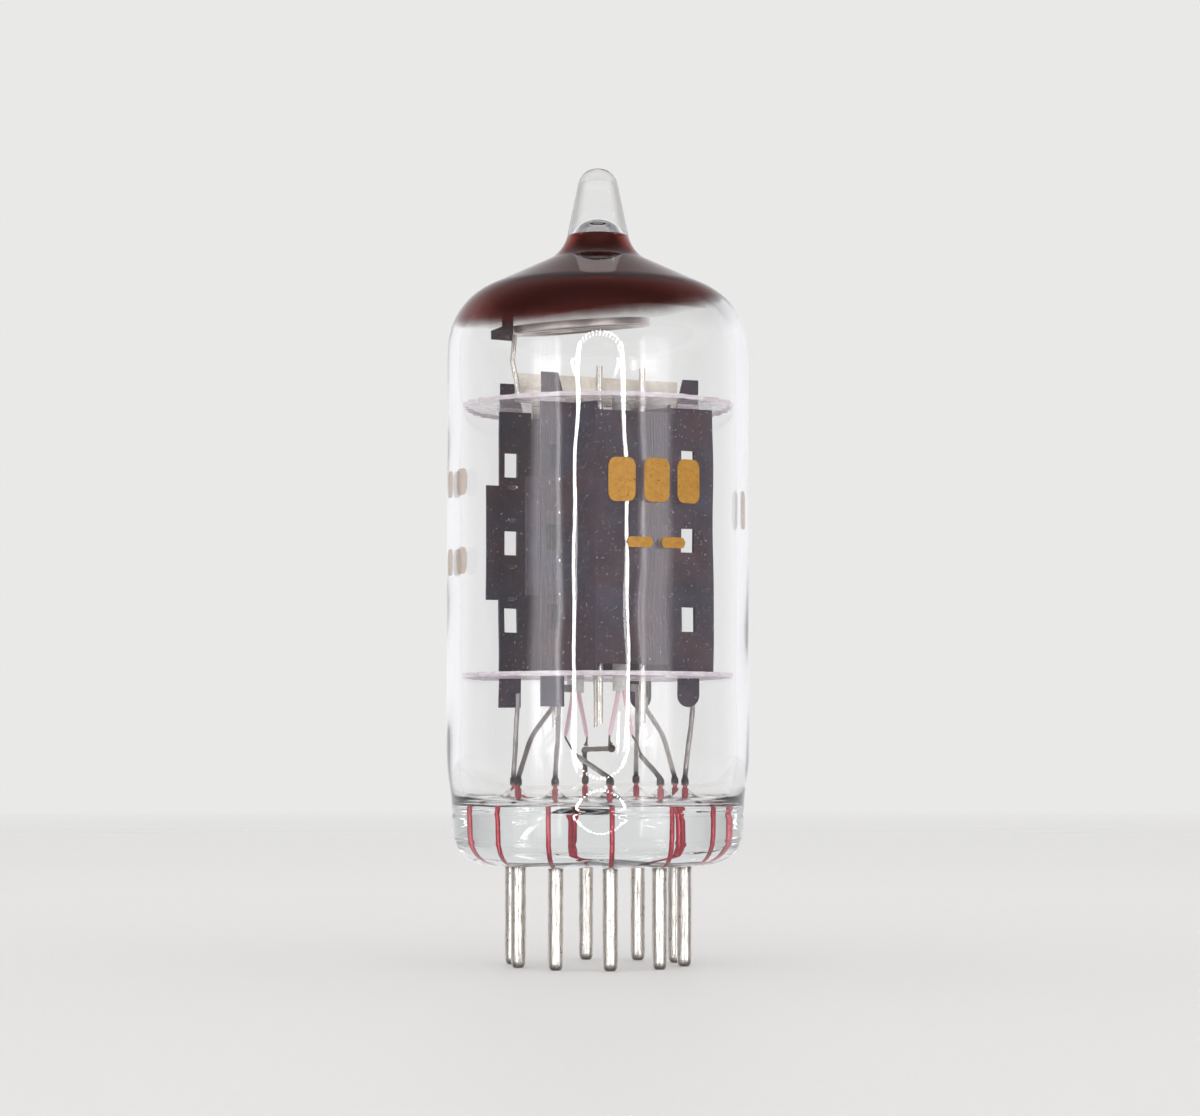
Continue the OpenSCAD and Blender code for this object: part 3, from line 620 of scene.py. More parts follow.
def lead_piece(k, route, lump):
    """A bent lead on the short upright weld knot at its foot, with burnt lumps at its corners if any."""
    verts, faces = [], []
    start = foot(k)
    bend = WIDE_BEND if k in GRID_LEADS else SHARP_BEND
    path = smooth_path([start, start + [0, 0, KNOT_H]] + route, LEAD_STEP, bend)
    rng = np.random.default_rng(k)
    along = np.linspace(0, 1, len(path))
    run = runs(path)
    knot = (KNOT_R - LEAD_R) * np.exp(-((run - KNOT_MIDDLE) / KNOT_HALF) ** KNOT_EDGE)
    radii = LEAD_R * (1 - LEAD_SWELL * np.sin(along * LEAD_SWELL_RATE + k))
    radii = radii + knot * (1 + KNOT_LUMPS * np.sin(run * KNOT_LUMP_RATE + k))
    for corner in route:
        radii = radii + lump * np.exp(-(np.linalg.norm(path - corner, axis=1) / LUMP_REACH) ** 2)
    phases = rng.uniform(0, 6, 3)
    sway = np.sin(np.outer(along * LEAD_SWAY_RATE + k, LEAD_SWAYS) + phases)
    wobble = LEAD_SWAY * sway * (along * (1 - along) * 4)[:, None]
    tube(verts, faces, [in_mount(p) for p in path + wobble], radii, LEAD_SIDES)
    return add_object("bent_lead_%d" % k, verts, faces)


def heater_piece(name, y, left_end, right_end):
    """The folded coated heater, and its bare tails as a second piece."""
    half = HEATER_SPAN / 2
    fold = UPPER_Z - HEATER_DROP - half
    spread = HEATER_SPREAD / 2
    down = [(s * half, y, fold) for s in (-1, 1)]
    feet = [(s * spread, y, HEATER_Z) for s in (-1, 1)]
    turn = np.linspace(math.pi, 0, HEATER_FOLD_STEPS)
    top = [(half * math.cos(a), y, fold + half * math.sin(a)) for a in turn]
    left = smooth_path([feet[0], (-half, y, SLEEVE_FOOT), down[0]], WIRE_STEP, HEATER_BEND)
    right = smooth_path([down[1], (half, y, SLEEVE_FOOT), feet[1]], WIRE_STEP, HEATER_BEND)
    path = np.vstack([left[:-1], top, right[1:]])
    ends = np.minimum(np.arange(len(path)), np.arange(len(path))[::-1])
    radii = HEATER_R * np.clip(HEATER_END + HEATER_TAPER * ends, 0, 1)
    verts, faces = [], []
    tube(verts, faces, [in_mount(p) for p in path], radii, WIRE_SIDES)
    coated = add_object(name, verts, faces)
    verts, faces = [], []
    for leg, end in zip(feet, (left_end, right_end)):
        leg, end = np.array(leg), np.array(end)
        sag = (leg + end) / 2 + np.array(TAIL_SAG) * math.copysign(1, leg[0])
        path = [leg + [0, 0, TAIL_INSIDE], leg - [0, 0, TAIL_OUTSIDE], sag, end]
        path = smooth_path(path, WIRE_STEP, TAIL_BEND)
        weld = TAIL_WELD * np.exp(-(np.linalg.norm(path - end, axis=1) / TAIL_WELD_REACH) ** 2)
        tube(verts, faces, [in_mount(p) for p in path], TAIL_R + weld, TAIL_SIDES)
    tails = add_object(name + "_tails", verts, faces)
    return coated, tails


def fine_winding(name, y):
    """The closely wound grid wire, an ellipse round both rods."""
    half_w = ROD_U + ROD_R + WINDING_R
    half_d = SLEEVE_R + GRID_CLEAR + WINDING_R
    turns = int((ANODE_H - 2 * WINDING_MARGIN) / WINDING_PITCH)
    path = []
    for i in range(turns * WINDING_STEPS):
        turn = i / WINDING_STEPS
        a = 2 * math.pi * turn
        x = half_w * math.copysign(abs(math.cos(a)) ** WINDING_SQUARE, math.cos(a))
        z = LOWER_Z + WINDING_MARGIN + WINDING_PITCH * turn
        path.append(in_mount((x, y + half_d * math.sin(a), z)))
    verts, faces = [], []
    tube(verts, faces, path, WINDING_R, WINDING_SIDES)
    return add_object(name, verts, faces)


def add_slab(verts, faces, start, end, z, half_h, half_t):
    """Adds a flat bar that runs between two places in plan, in the electrodes' frame."""
    first = len(verts)
    for u, y in (start, end):
        for side, rise in ((-1, -1), (1, -1), (1, 1), (-1, 1)):
            verts.append(in_mount((u, y + side * half_t, z + rise * half_h)))
    faces += grid_faces(2, 4, first)
    faces += [(first + 3, first + 2, first + 1, first), (first + 4, first + 5, first + 6, first + 7)]


def crimp_tongues():
    """The tongues folded through both sheets at each crimp, and their bright cut ends as a second piece."""
    tongues, cuts = ([], []), ([], [])
    left = -CRIMP_U - CRIMP_W / 2 + TONGUE_GAP
    right = -CRIMP_U + CRIMP_W / 2 - TONGUE_GAP
    half_h = CRIMP_H / 2 - TONGUE_SLACK
    for y in (-PLANE, PLANE):
        root = (left, y + SHEET_T / 2)
        fold = (right, y - 2 * SHEET_T)
        cut = (right + CUT_REACH, fold[1] - CUT_LEAN)
        for number, rise in enumerate(CRIMP_RISES):
            z = LOWER_Z + ANODE_H / 2 + rise
            add_slab(*tongues, root, fold, z, half_h, SHEET_T / 2)
            add_slab(*cuts, fold, cut, z, CUT_HALF_HEIGHTS[number % 2], CUT_HALF_T)
    pieces = (("crimp_tongues", tongues), ("crimp_ends", cuts))
    return [add_object(name, *parts, smooth=False) for name, parts in pieces]


def print_mark(name, blocks):
    """Thin raised ink on the glass: rounded blocks that follow the wall."""
    verts, faces = [], []
    turn = math.atan2(TO_CAMERA.y, TO_CAMERA.x)
    inner, outer = INK_FACES
    for u, z, w, h, corner in blocks:
        first = len(verts)
        spots = np.linspace(-w / 2, w / 2, max(INK_FEWEST, int(w / INK_STEP)))
        for spot in spots:
            past = max(0, abs(spot) - (w / 2 - corner))
            half = h / 2 - corner + math.sqrt(max(0, corner * corner - past * past))
            a = turn + (u + spot) / BULB_R
            for lift, side in ((inner, -1), (inner, 1), (outer, 1), (outer, -1)):
                r = BULB_R + lift
                verts.append((r * math.cos(a), r * math.sin(a), z + side * half))
        last = first + 4 * (len(spots) - 1)
        faces += grid_faces(len(spots), 4, first)
        faces += [(first + 3, first + 2, first + 1, first), (last, last + 1, last + 2, last + 3)]
    return add_object(name, verts, faces, smooth=False)


# materials

class Shader:
    """A material with one Principled shader, and short calls for the nodes it needs."""

    def __init__(self, name, color, metallic=0.0, roughness=0.5):
        self.material = bpy.data.materials.new(name)
        self.material.use_nodes = True
        self.tree = self.material.node_tree
        self.nodes = self.tree.nodes
        self.nodes.clear()
        self.out = self.nodes.new("ShaderNodeOutputMaterial")
        self.main = self.nodes.new("ShaderNodeBsdfPrincipled")
        self.set("Base Color", (*color, 1))
        self.set("Metallic", metallic)
        self.set("Roughness", roughness)
        self.link(self.main.outputs["BSDF"], self.out.inputs["Surface"])
        self.place = self.nodes.new("ShaderNodeTexCoord").outputs["Object"]

    def link(self, source, target):
        self.tree.links.new(source, target)

    def set(self, socket, value):
        self.main.inputs[socket].default_value = value

    def put(self, source, socket):
        self.link(source, self.main.inputs[socket])

    def stretched(self, scale):
        """The place, scaled along each axis."""
        node = self.nodes.new("ShaderNodeMapping")
        node.inputs["Scale"].default_value = scale
        self.link(self.place, node.inputs["Vector"])
        return node.outputs["Vector"]

    def noise(self, size_mm, detail=3.0, rough=0.55, vector=None, distort=0.0):
        node = self.nodes.new("ShaderNodeTexNoise")
        node.inputs["Scale"].default_value = 1 / (size_mm * MM)
        node.inputs["Detail"].default_value = detail
        node.inputs["Roughness"].default_value = rough
        node.inputs["Distortion"].default_value = distort
        self.link(vector or self.place, node.inputs["Vector"])
        return node.outputs["Fac"]

    def ramp(self, source, *stops):
        node = self.nodes.new("ShaderNodeValToRGB")
        elements = node.color_ramp.elements
        while len(elements) < len(stops):
            elements.new(0.5)
        for element, (at, value) in zip(elements, stops):
            element.position = at
            element.color = (*value, 1) if isinstance(value, tuple) else (value, value, value, 1)
        self.link(source, node.inputs["Fac"])
        return node.outputs["Color"]

    def mix(self, factor, first, second):
        node = self.nodes.new("ShaderNodeMix")
        node.data_type = "RGBA"
        self.link(factor, node.inputs[0])
        for source, socket in ((first, node.inputs[6]), (second, node.inputs[7])):
            if isinstance(source, tuple):
                socket.default_value = (*source, 1)
            else:
                self.link(source, socket)
        return node.outputs[2]

    def math(self, operation, first, second=0.0):
        node = self.nodes.new("ShaderNodeMath")
        node.operation = operation
        for source, socket in ((first, node.inputs[0]), (second, node.inputs[1])):
            if isinstance(source, (int, float)):
                socket.default_value = source
            else:
                self.link(source, socket)
        return node.outputs[0]

    def height(self, source, strength, distance_mm):
        """Bumps as high as a source says."""
        node = self.nodes.new("ShaderNodeBump")
        node.inputs["Strength"].default_value = strength
        node.inputs["Distance"].default_value = distance_mm * MM
        self.link(source, node.inputs["Height"])
        self.put(node.outputs["Normal"], "Normal")

    def axis_value(self, direction):
        """How far a point lies along a direction, in metres."""
        node = self.nodes.new("ShaderNodeVectorMath")
        node.operation = "DOT_PRODUCT"
        node.inputs[1].default_value = direction
        self.link(self.place, node.inputs[0])
        return node.outputs["Value"]


def glass_material():
    """Clear glass that takes a little light away."""
    s = Shader("clear_glass", (1, 1, 1), 0, 0.0)
    s.set("Transmission Weight", 1.0)
    s.set("IOR", 1.51)
    tint = s.nodes.new("ShaderNodeVolumeAbsorption")
    tint.inputs["Color"].default_value = (0.90, 0.92, 0.92, 1)
    tint.inputs["Density"].default_value = 80
    s.link(tint.outputs["Volume"], s.out.inputs["Volume"])
    return s.material


def film_material():
    """A dark mirror that turns brown and thin towards its lower edge."""
    s = Shader("getter_film", (0.10, 0.04, 0.035), 1.0, 0.1)
    low_side = math.radians(FILM_TURN)
    lean = math.radians(FILM_LEAN)
    normal = (math.sin(low_side) * math.sin(lean), -math.cos(low_side) * math.sin(lean), math.cos(lean))
    above = s.math("SUBTRACT", s.axis_value(normal), FILM_Z * MM * math.cos(lean))
    cloud = s.noise(3.0, 3, 0.5)
    cloud_height, fade_height, edge_depth = 0.5 * MM, 2.2 * MM, 0.35
    wave = s.math("MULTIPLY", s.math("SUBTRACT", cloud, 0.5), cloud_height)
    depth = s.math("DIVIDE", s.math("ADD", above, wave), fade_height)
    depth = s.math("ADD", depth, edge_depth)
    edge, thin = (0.05, 0.018, 0.010), (0.31, 0.044, 0.026)
    thick, full = (0.27, 0.034, 0.022), (0.24, 0.040, 0.028)
    s.put(s.ramp(depth, (0.0, edge), (0.3, thin), (0.62, thick), (1.0, full)), "Base Color")
    cover = s.ramp(depth, (0.0, 0.0), (0.18, 0.3), (0.42, 0.85), (0.65, 1.0))
    s.put(cover, "Alpha")
    s.put(s.ramp(s.noise(0.9, 5, 0.6), (0.3, 0.1), (0.7, 0.22)), "Roughness")
    return s.material


def nickel(name, color, rough, dark, grain=LONG_GRAIN, metallic=1.0, blotch_mm=1.2):
    """Worn drawn metal: streaks along its length, darker blotches and fine scratches."""
    s = Shader(name, color, metallic, rough)
    streak = s.noise(0.12, 4, 0.6, s.stretched(grain))
    blotch = s.noise(blotch_mm, 4, 0.65)
    deep = tuple(c * dark for c in color)
    tone = s.mix(s.ramp(blotch, (0.38, 0.0), (0.66, 1.0)), color, deep)
    tone = s.mix(s.ramp(streak, (0.42, 0.0), (0.75, 0.55)), tone, deep)
    s.put(tone, "Base Color")
    s.put(s.ramp(streak, (0.3, max(0.05, rough - 0.1)), (0.7, rough + 0.16)), "Roughness")
    s.height(streak, 0.25, 0.01)
    return s


def smooth_nickel(name, color):
    """Bright pressed strip with a few soft clouds and no grain."""
    s = Shader(name, color, 0.9, 0.3)
    cloud = s.noise(2.5, 3, 0.5)
    deep = tuple(c * 0.55 for c in color)
    s.put(s.mix(s.ramp(cloud, (0.4, 0.0), (0.75, 0.7)), color, deep), "Base Color")
    s.put(s.ramp(cloud, (0.3, 0.26), (0.7, 0.38)), "Roughness")
    return s.material


def pin_material():
    """Bright drawn pins with fine lengthwise scratches, dark pits and a tarnished end."""
    light, deep, pit = (0.80, 0.765, 0.71), (0.36, 0.325, 0.295), (0.08, 0.065, 0.06)
    s = Shader("pin_nickel", light, 1.0, 0.25)
    fine = s.noise(0.05, 3, 0.6, s.stretched((1, 1, 0.04)))
    broad = s.noise(0.3, 3, 0.6, s.stretched((1, 1, 0.15)))
    tone = s.mix(s.ramp(fine, (0.47, 0.0), (0.66, 1.0)), light, deep)
    tone = s.mix(s.ramp(broad, (0.5, 0.0), (0.8, 0.5)), tone, deep)
    spots = s.noise(0.11, 2, 0.6, s.stretched((1, 1, 0.5)))
    tone = s.mix(s.ramp(spots, (0.63, 0.0), (0.67, 0.9)), tone, pit)
    height = s.math("DIVIDE", s.axis_value((0, 0, 1)), PIN_LENGTH * MM)
    height = s.math("ADD", height, s.math("MULTIPLY", s.math("SUBTRACT", s.noise(0.4, 3), 0.5), 0.04))
    tone = s.mix(s.ramp(height, (0.02, 0.8), (0.07, 0.0), (0.94, 0.0), (0.985, 0.7)), tone, pit)
    s.put(tone, "Base Color")
    s.put(s.ramp(fine, (0.3, 0.2), (0.7, 0.42)), "Roughness")
    s.height(fine, 0.2, 0.008)
    return s.material


def anode_material():
    """Carbonised steel: near black, matt, with tiny bright specks."""
    s = Shader("carbonised_sheet", (0.10, 0.07, 0.085), 0.2, 0.5)
    cloud = s.noise(1.8, 6, 0.65)
    tone = s.ramp(s.noise(4.5, 3, 0.5), (0.38, (0.110, 0.046, 0.058)), (0.62, (0.070, 0.058, 0.098)))
    tone = s.mix(s.ramp(cloud, (0.35, 0.0), (0.68, 0.8)), tone, (0.040, 0.024, 0.036))
    grit = s.ramp(s.noise(0.16, 2, 0.5), (0.67, 0.0), (0.72, 1.0))
    s.put(s.mix(grit, tone, (0.5, 0.46, 0.52)), "Base Color")
    s.put(s.ramp(cloud, (0.3, 0.42), (0.7, 0.6)), "Roughness")
    s.height(s.noise(0.14, 3, 0.6), 0.35, 0.02)
    return s.material


def mica_material():
    """Clear cloudy faces and milky cut edges, told apart by the way the surface faces."""
    s = Shader("mica", (0.90, 0.86, 0.92), 0, 0.22)
    s.set("IOR", 1.56)
    facing = s.nodes.new("ShaderNodeSeparateXYZ")
    s.link(s.nodes.new("ShaderNodeNewGeometry").outputs["Normal"], facing.inputs[0])
    face = s.ramp(s.math("ABSOLUTE", facing.outputs["Z"]), (0.5, 0.0), (0.8, 1.0))
    flake = s.noise(1.1, 5, 0.65, s.stretched((1, 1, 6)), 1.2)
    s.put(s.ramp(flake, (0.38, (0.93, 0.87, 0.92)), (0.62, (0.62, 0.53, 0.60))), "Base Color")
    cloudy = s.ramp(flake, (0.35, 0.22), (0.7, 0.5))
    s.put(s.mix(face, (0.97, 0.97, 0.97), cloudy), "Alpha")
    s.put(s.ramp(flake, (0.3, 0.12), (0.7, 0.4)), "Roughness")
    s.height(flake, 0.3, 0.04)
    return s.material


def ceramic(name, light, deep, size=0.3):
    """Chalky coating with a fine grain, and painted shade in the grain's hollows."""
    s = Shader(name, light, 0, 0.7)
    grain = s.noise(size, 4, 0.6)
    # painted shade: the deep tone sits where the grain is low, which the bump below turns into hollows
    s.put(s.ramp(grain, (0.3, deep), (0.62, light)), "Base Color")
    s.height(grain, 0.5, 0.03)
    return s.material


def lead_material():
    """Grey leads, black and sooty at the knot on their feet."""
    s = nickel("lead_nickel", (0.60, 0.56, 0.54), 0.34, 0.5)
    height = s.axis_value((0, 0, 1))
    soot = s.math("DIVIDE", s.math("SUBTRACT", height, LEAD_Z * MM), 1.4 * MM)
    soot = s.math("ADD", soot, s.math("MULTIPLY", s.math("SUBTRACT", s.noise(0.4, 3), 0.5), 0.5))
    tone = s.main.inputs["Base Color"].links[0].from_socket
    cover = s.ramp(soot, (0.02, 0.2), (0.14, 1.0), (0.42, 1.0), (0.8, 0.0))
    s.put(s.mix(cover, tone, (0.06, 0.045, 0.05)), "Base Color")
    return s.material


def ink(name, color):
    """Printed ink with soft flecks."""
    s = Shader(name, color, 0, 0.45)
    deep = tuple(c * 0.75 for c in color)
    s.put(s.ramp(s.noise(0.35, 4, 0.7), (0.35, deep), (0.65, color)), "Base Color")
    return s


def worn_ink(name, color):
    """Ink that is rubbed through in small spots."""
    s = ink(name, color)
    s.put(s.ramp(s.noise(0.2, 4, 0.6), (0.25, 0.0), (0.39, 1.0)), "Alpha")
    return s.material


def thin_ink(name, color):
    """Ink so thin that the glass shows through it."""
    s = ink(name, color)
    s.set("Alpha", 0.3)
    return s.material


def dress(piece, material, slot, *nodes):
    """Gives a new piece its material, hangs it on the root and hides the solids it replaces."""
    piece.data.materials.append(material)
    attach(piece, "root")
    if nodes:
        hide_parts(*nodes)


def paint_node(name, material):
    """Gives a solid that stays visible its material."""
    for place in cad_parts[name].material_slots:
        place.material = material


# the tube

def on_bridge(y):
    """A point on the bridge lead, beside the heater at a depth."""
    t = y / (PLANE + 2 * LEAD_R)
    return (HEATER_SPREAD / 2 * t, y, BRIDGE_Z + LEAD_R + TAIL_R + WELD_GAP)


def past_top(k):
    """A point just past the end of a straight heater lead."""
    top = np.array(routes[k][0], float)
    run = top - foot(k)
    return top + run / np.linalg.norm(run) * (TAIL_R + WELD_GAP)


glass_look = glass_material()
bulb = glass_envelope()
bulb.visible_diffuse = False
dress(bulb, glass_look, "glass", "glass_bulb", "button_stem")
dress(getter_mirror(), film_material(), "film", "getter_film")

pin_look = pin_material()
seal_look = nickel("copper_seal_wire", (0.70, 0.12, 0.15), 0.35, 0.6, blotch_mm=0.7).material
lead_look = lead_material()
rod_look = nickel("rod_nickel", (0.92, 0.87, 0.80), 0.24, 0.8).material
ring_look = smooth_nickel("ring_nickel", (0.76, 0.69, 0.66))
burnt_lead = nickel("burnt_lead", (0.20, 0.15, 0.12), 0.4, 0.4, EVEN_GRAIN, blotch_mm=0.5).material
strap_look = nickel("strap_nickel", (0.83, 0.76, 0.66), 0.36, 0.8, EVEN_GRAIN).material
anode_look = anode_material()
mica_look = mica_material()
sleeve_look = ceramic("cathode_coating", (0.86, 0.86, 0.84), (0.70, 0.69, 0.66))
heater_look = ceramic("heater_coating", (0.95, 0.72, 0.79), (0.86, 0.60, 0.68), 0.2)
burnt_steel = nickel("burnt_steel", (0.15, 0.10, 0.09), 0.4, 0.4, EVEN_GRAIN, 0.8, 0.5).material
crust = ceramic("getter_residue", (0.16, 0.15, 0.15), (0.07, 0.065, 0.065), 0.25)
tail_look = nickel("tail_wire", (0.34, 0.30, 0.26), 0.4, 0.5).material
grid_look = nickel("grid_wire", (0.75, 0.70, 0.62), 0.25, 0.8).material

routes = lead_routes()
for k in range(1, PIN_COUNT + 1):
    paint_node("pin_%d" % k, pin_look)
    paint_node("seal_wire_%d" % k, seal_look)
    lump, look = (BURNT_LUMP, burnt_lead) if k == BRIDGE_LEAD else (0, lead_look)
    dress(lead_piece(k, routes[k], lump), look, "lead", "lead_%d" % k)

for name in ("lower_mica", "upper_mica"):
    paint_node(name, mica_look)
for letter, y in (("a", -PLANE), ("b", PLANE)):
    for half in ("front", "back"):
        paint_node("anode_%s_%s" % (letter, half), anode_look)
    for side in ("left", "right"):
        paint_node("grid_rod_%s_%s" % (letter, side), rod_look)
    paint_node("cathode_%s" % letter, sleeve_look)
    paint_node("cathode_ribbon_%s" % letter, lead_look)
    dress(fine_winding("fine_winding_" + letter, y), grid_look, "grid", "grid_winding_" + letter)
tongues, cut_ends = crimp_tongues()
dress(tongues, anode_look, "anode")
dress(cut_ends, rod_look, "anode")
paint_node("getter_strap", strap_look)
paint_node("getter_post", rod_look)
paint_node("getter_bracket", burnt_steel)
paint_node("getter_ring", ring_look)
paint_node("getter_fill", crust)

coat_a, tails_a = heater_piece("folded_heater_a", -PLANE, on_bridge(-PLANE), past_top(FRONT_HEATER_LEAD))
coat_b, tails_b = heater_piece("folded_heater_b", PLANE, past_top(BACK_HEATER_LEAD), on_bridge(PLANE))
dress(coat_a, heater_look, "heater", "heater_a")
dress(coat_b, heater_look, "heater", "heater_b")
dress(tails_a, tail_look, "lead")
dress(tails_b, tail_look, "lead")

ochre_look = worn_ink("ochre_ink", (0.56, 0.27, 0.03))
thin_look = thin_ink("thin_ink", (0.60, 0.34, 0.14))
dress(print_mark("ochre_marks", PILLS + DASHES), ochre_look, "ink")
dress(print_mark("faint_marks", SIDE_BLOCKS), thin_look, "ink")


# floor, world, lamp and camera

def pale_floor():
    """A plain round floor that fades into the world with distance."""
    bpy.ops.mesh.primitive_circle_add(vertices=FLOOR_SIDES, radius=FLOOR_R, fill_type="NGON")
    floor = bpy.context.object
    floor.name = "floor"
    s = Shader("pale_floor", (0.90, 0.895, 0.89), 0, 0.6)
    s.set("Specular IOR Level", 0.2)
    away = s.nodes.new("ShaderNodeVectorMath")
    away.operation = "LENGTH"
    s.link(s.place, away.inputs[0])
    fade = s.ramp(away.outputs["Value"], *FLOOR_FADE)
    clear = s.nodes.new("ShaderNodeBsdfTransparent")
    both = s.nodes.new("ShaderNodeMixShader")
    s.link(fade, both.inputs[0])
    s.link(s.main.outputs["BSDF"], both.inputs[1])
    s.link(clear.outputs["BSDF"], both.inputs[2])
    s.link(both.outputs["Shader"], s.out.inputs["Surface"])
    floor.data.materials.append(s.material)
    floor.visible_glossy = False


class Sky:
    """The world's nodes, with short calls for its sums."""

    def __init__(self, name):
        world = bpy.data.worlds.new(name)
        bpy.context.scene.world = world
        world.use_nodes = True
        self.nodes = world.node_tree.nodes
        self.links = world.node_tree.links
        self.nodes.clear()
        self.look = self.nodes.new("ShaderNodeTexCoord").outputs["Generated"]

    def math(self, operation, *sources, clamp=False):
        node = self.nodes.new("ShaderNodeMath")
        node.operation = operation
        node.use_clamp = clamp
        for source, socket in zip(sources, node.inputs):
            if isinstance(source, (int, float)):
                socket.default_value = source
            else:
                self.links.new(source, socket)
        return node.outputs[0]

    def grown(self, source, start, reach):
        """0 up to a start, then rising to 1 over a reach."""
        return self.math("DIVIDE", self.math("SUBTRACT", source, start), reach, clamp=True)

    def dimmed(self, source, cover, share):
        """A light that loses a share where a cover is 1."""
        kept = self.math("SUBTRACT", 1.0, self.math("MULTIPLY", cover, share))
        return self.math("MULTIPLY", source, kept)

    def offset(self, source, centre, width):
        """How far a direction is from a centre, in widths."""
        return self.math("DIVIDE", self.math("SUBTRACT", source, centre), width)

    def along(self, direction):
        """How much the looked-at direction goes one way."""
        node = self.nodes.new("ShaderNodeVectorMath")
        node.operation = "DOT_PRODUCT"
        node.inputs[1].default_value = direction
        self.links.new(self.look, node.inputs[0])
        return node.outputs["Value"]

    def background(self, color, strength):
        node = self.nodes.new("ShaderNodeBackground")
        node.inputs["Color"].default_value = (*color, 1)
        self.links.new(strength, node.inputs["Strength"])
        return node.outputs[0]

    def either(self, factor, first, second):
        node = self.nodes.new("ShaderNodeMixShader")
        self.links.new(factor, node.inputs[0])
        self.links.new(first, node.inputs[1])
        self.links.new(second, node.inputs[2])
        return node.outputs[0]


def light_panels(sky, azimuth, elevation):
    """The two tall streaky light panels that the glass and metal mirror."""
    streaks = sky.nodes.new("ShaderNodeTexNoise")
    streaks.noise_dimensions = "1D"
    streaks.inputs["Scale"].default_value = STREAK_SCALE
    streaks.inputs["Detail"].default_value = STREAK_DETAIL
    sky.links.new(azimuth, streaks.inputs["W"])
    lights = []
    for centre, width, level, height, rim in PANELS:
        across = sky.math("POWER", sky.math("ABSOLUTE", sky.offset(azimuth, centre, width)), PANEL_EDGE)
        upward = sky.math("POWER", sky.math("ABSOLUTE", sky.offset(elevation, level, height)), PANEL_EDGE)
        inside = sky.math("SUBTRACT", PANEL_FULL, sky.math("ADD", across, upward), clamp=True)
        near = sky.math("POWER", sky.offset(azimuth, rim, RIM_WIDTH), 2.0)
        line = sky.math("SUBTRACT", 1.0, near, clamp=True)
        glow = sky.math("ADD", sky.math("MULTIPLY", line, RIM_GAIN), streaks.outputs["Fac"])
        lights.append(sky.math("MULTIPLY", inside, glow))
    return sky.math("ADD", *lights)


def studio_world():
    """The studio: what is mirrored, what shows through the glass, and the even light on matt surfaces."""
    sky = Sky("studio")
    front, right, up = sky.along(TO_CAMERA), sky.along(TO_RIGHT), sky.along((0, 0, 1))
    azimuth = sky.math("ARCTAN2", right, front)
    elevation = sky.math("ARCSINE", up)
    path = sky.nodes.new("ShaderNodeLightPath").outputs

    room = sky.math("ADD", ROOM_LEVEL, sky.math("MULTIPLY", front, ROOM_FRONT))
    room = sky.dimmed(room, sky.grown(up, OVERHEAD_FROM, OVERHEAD_REACH), OVERHEAD_DIM)
    flags = sky.math("POWER", sky.math("DIVIDE", front, FLAG_WIDTH), 2.0)
    room = sky.dimmed(room, sky.math("SUBTRACT", 1.0, flags, clamp=True), FLAG_DIM)
    panels = sky.math("MULTIPLY", light_panels(sky, azimuth, elevation), PANEL_LIGHT)
    mirrored = sky.background((0.985, 0.975, 1.0), sky.math("ADD", room, panels))

    tilt = sky.math("MAXIMUM", elevation, sky.math("MULTIPLY", elevation, LOW_TILT))
    sideways = sky.grown(sky.math("ABSOLUTE", right), SIDE_FROM, SIDE_REACH)
    dark = sky.grown(tilt, HIGH_FROM, HIGH_REACH)
    dark = sky.math("MAXIMUM", dark, sky.math("MULTIPLY", sideways, SIDE_DIM))
    through = sky.math("MULTIPLY", dark, sky.math("SUBTRACT", 1.0, path["Is Camera Ray"]))
    plain = sky.math("SUBTRACT", 1.0, sky.math("MULTIPLY", through, THROUGH_DIM))
    seen = sky.background((0.82, 0.815, 0.81), plain)

    tops = sky.math("ADD", sky.math("MULTIPLY", front, EVEN_FRONT), sky.math("MULTIPLY", up, EVEN_UP))
    even = sky.background((1.0, 0.99, 0.985), sky.math("ADD", EVEN_LEVEL, tops))

    bounced = sky.math("ADD", path["Glossy Depth"], 0.0, clamp=True)
    lit = sky.math("ADD", path["Diffuse Depth"], 0.0, clamp=True)
    out = sky.nodes.new("ShaderNodeOutputWorld")
    sky.links.new(sky.either(lit, sky.either(bounced, seen, mirrored), even), out.inputs["Surface"])


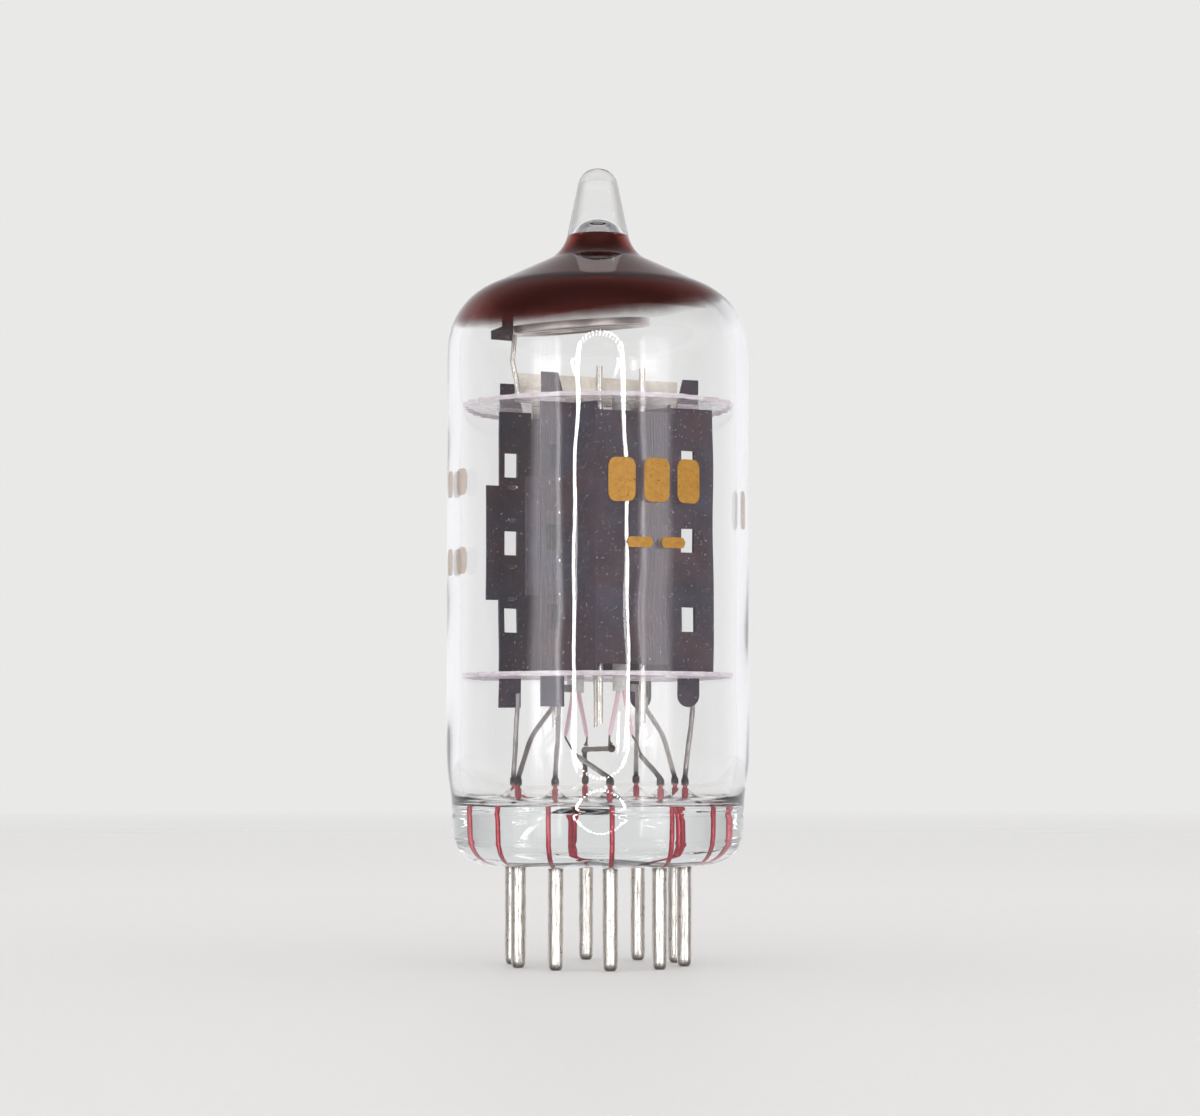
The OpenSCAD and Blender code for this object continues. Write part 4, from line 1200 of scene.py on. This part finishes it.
def ring_lamp():
    """A ring of small lamps round the lens, seen only as highlights."""
    right, up = np.array(TO_RIGHT), np.array([0, 0, 1.0])
    centre = np.array(TO_CAMERA) * VIEW_DISTANCE + right * LAMP_ASIDE
    centre = centre + np.array([0, 0, VIEW_HEIGHT + LAMP_ABOVE])
    verts, faces = [], []
    for i in range(LAMP_COUNT):
        middle = 2 * math.pi * i / LAMP_COUNT
        dotted = abs(math.sin(middle)) > DOTS_FROM
        half = math.pi / LAMP_COUNT * (DOT_LENGTH if dotted else 1.0)
        reach = LAMP_BAND * (DOT_WIDTH if dotted else 1.0)
        corners = ((-half, -reach), (half, -reach), (half, reach), (-half, reach))
        first = len(verts)
        for turn, step in corners:
            a, r = middle + turn, LAMP_R + step
            verts.append(tuple(centre + r * (math.cos(a) * right + LAMP_TALL * math.sin(a) * up)))
        faces.append((first, first + 1, first + 2, first + 3))
    lamp = add_object("ring_lamp", verts, faces, smooth=False)
    material = bpy.data.materials.new("lamp_light")
    material.use_nodes = True
    nodes, links = material.node_tree.nodes, material.node_tree.links
    nodes.clear()
    out = nodes.new("ShaderNodeOutputMaterial")
    glow = nodes.new("ShaderNodeEmission")
    glow.inputs["Strength"].default_value = LAMP_STRENGTH
    clear = nodes.new("ShaderNodeBsdfTransparent")
    both = nodes.new("ShaderNodeMixShader")
    path = nodes.new("ShaderNodeLightPath")
    links.new(path.outputs["Glossy Depth"], both.inputs[0])
    links.new(clear.outputs[0], both.inputs[1])
    links.new(glow.outputs[0], both.inputs[2])
    links.new(both.outputs[0], out.inputs["Surface"])
    material.cycles.emission_sampling = "NONE"
    lamp.data.materials.append(material)
    lamp.visible_camera = False
    lamp.visible_diffuse = False
    lamp.visible_shadow = False


def camera():
    """The photograph's camera."""
    data = bpy.data.cameras.new("camera")
    data.lens = VIEW_LENS
    data.sensor_width = VIEW_SENSOR
    data.sensor_fit = "HORIZONTAL"
    data.clip_start = VIEW_NEAREST
    eye = bpy.data.objects.new("camera", data)
    bpy.context.scene.collection.objects.link(eye)
    eye.location = (TO_CAMERA * VIEW_DISTANCE + TO_RIGHT * VIEW_SIDE + Vector((0, 0, VIEW_HEIGHT))) * MM
    gaze = -TO_CAMERA * math.cos(VIEW_PITCH) + Vector((0, 0, math.sin(VIEW_PITCH)))
    eye.rotation_euler = gaze.to_track_quat("-Z", "Y").to_euler()
    bpy.context.scene.camera = eye


pale_floor()
studio_world()
ring_lamp()
camera()

bpy.context.scene.view_settings.view_transform = "Standard"
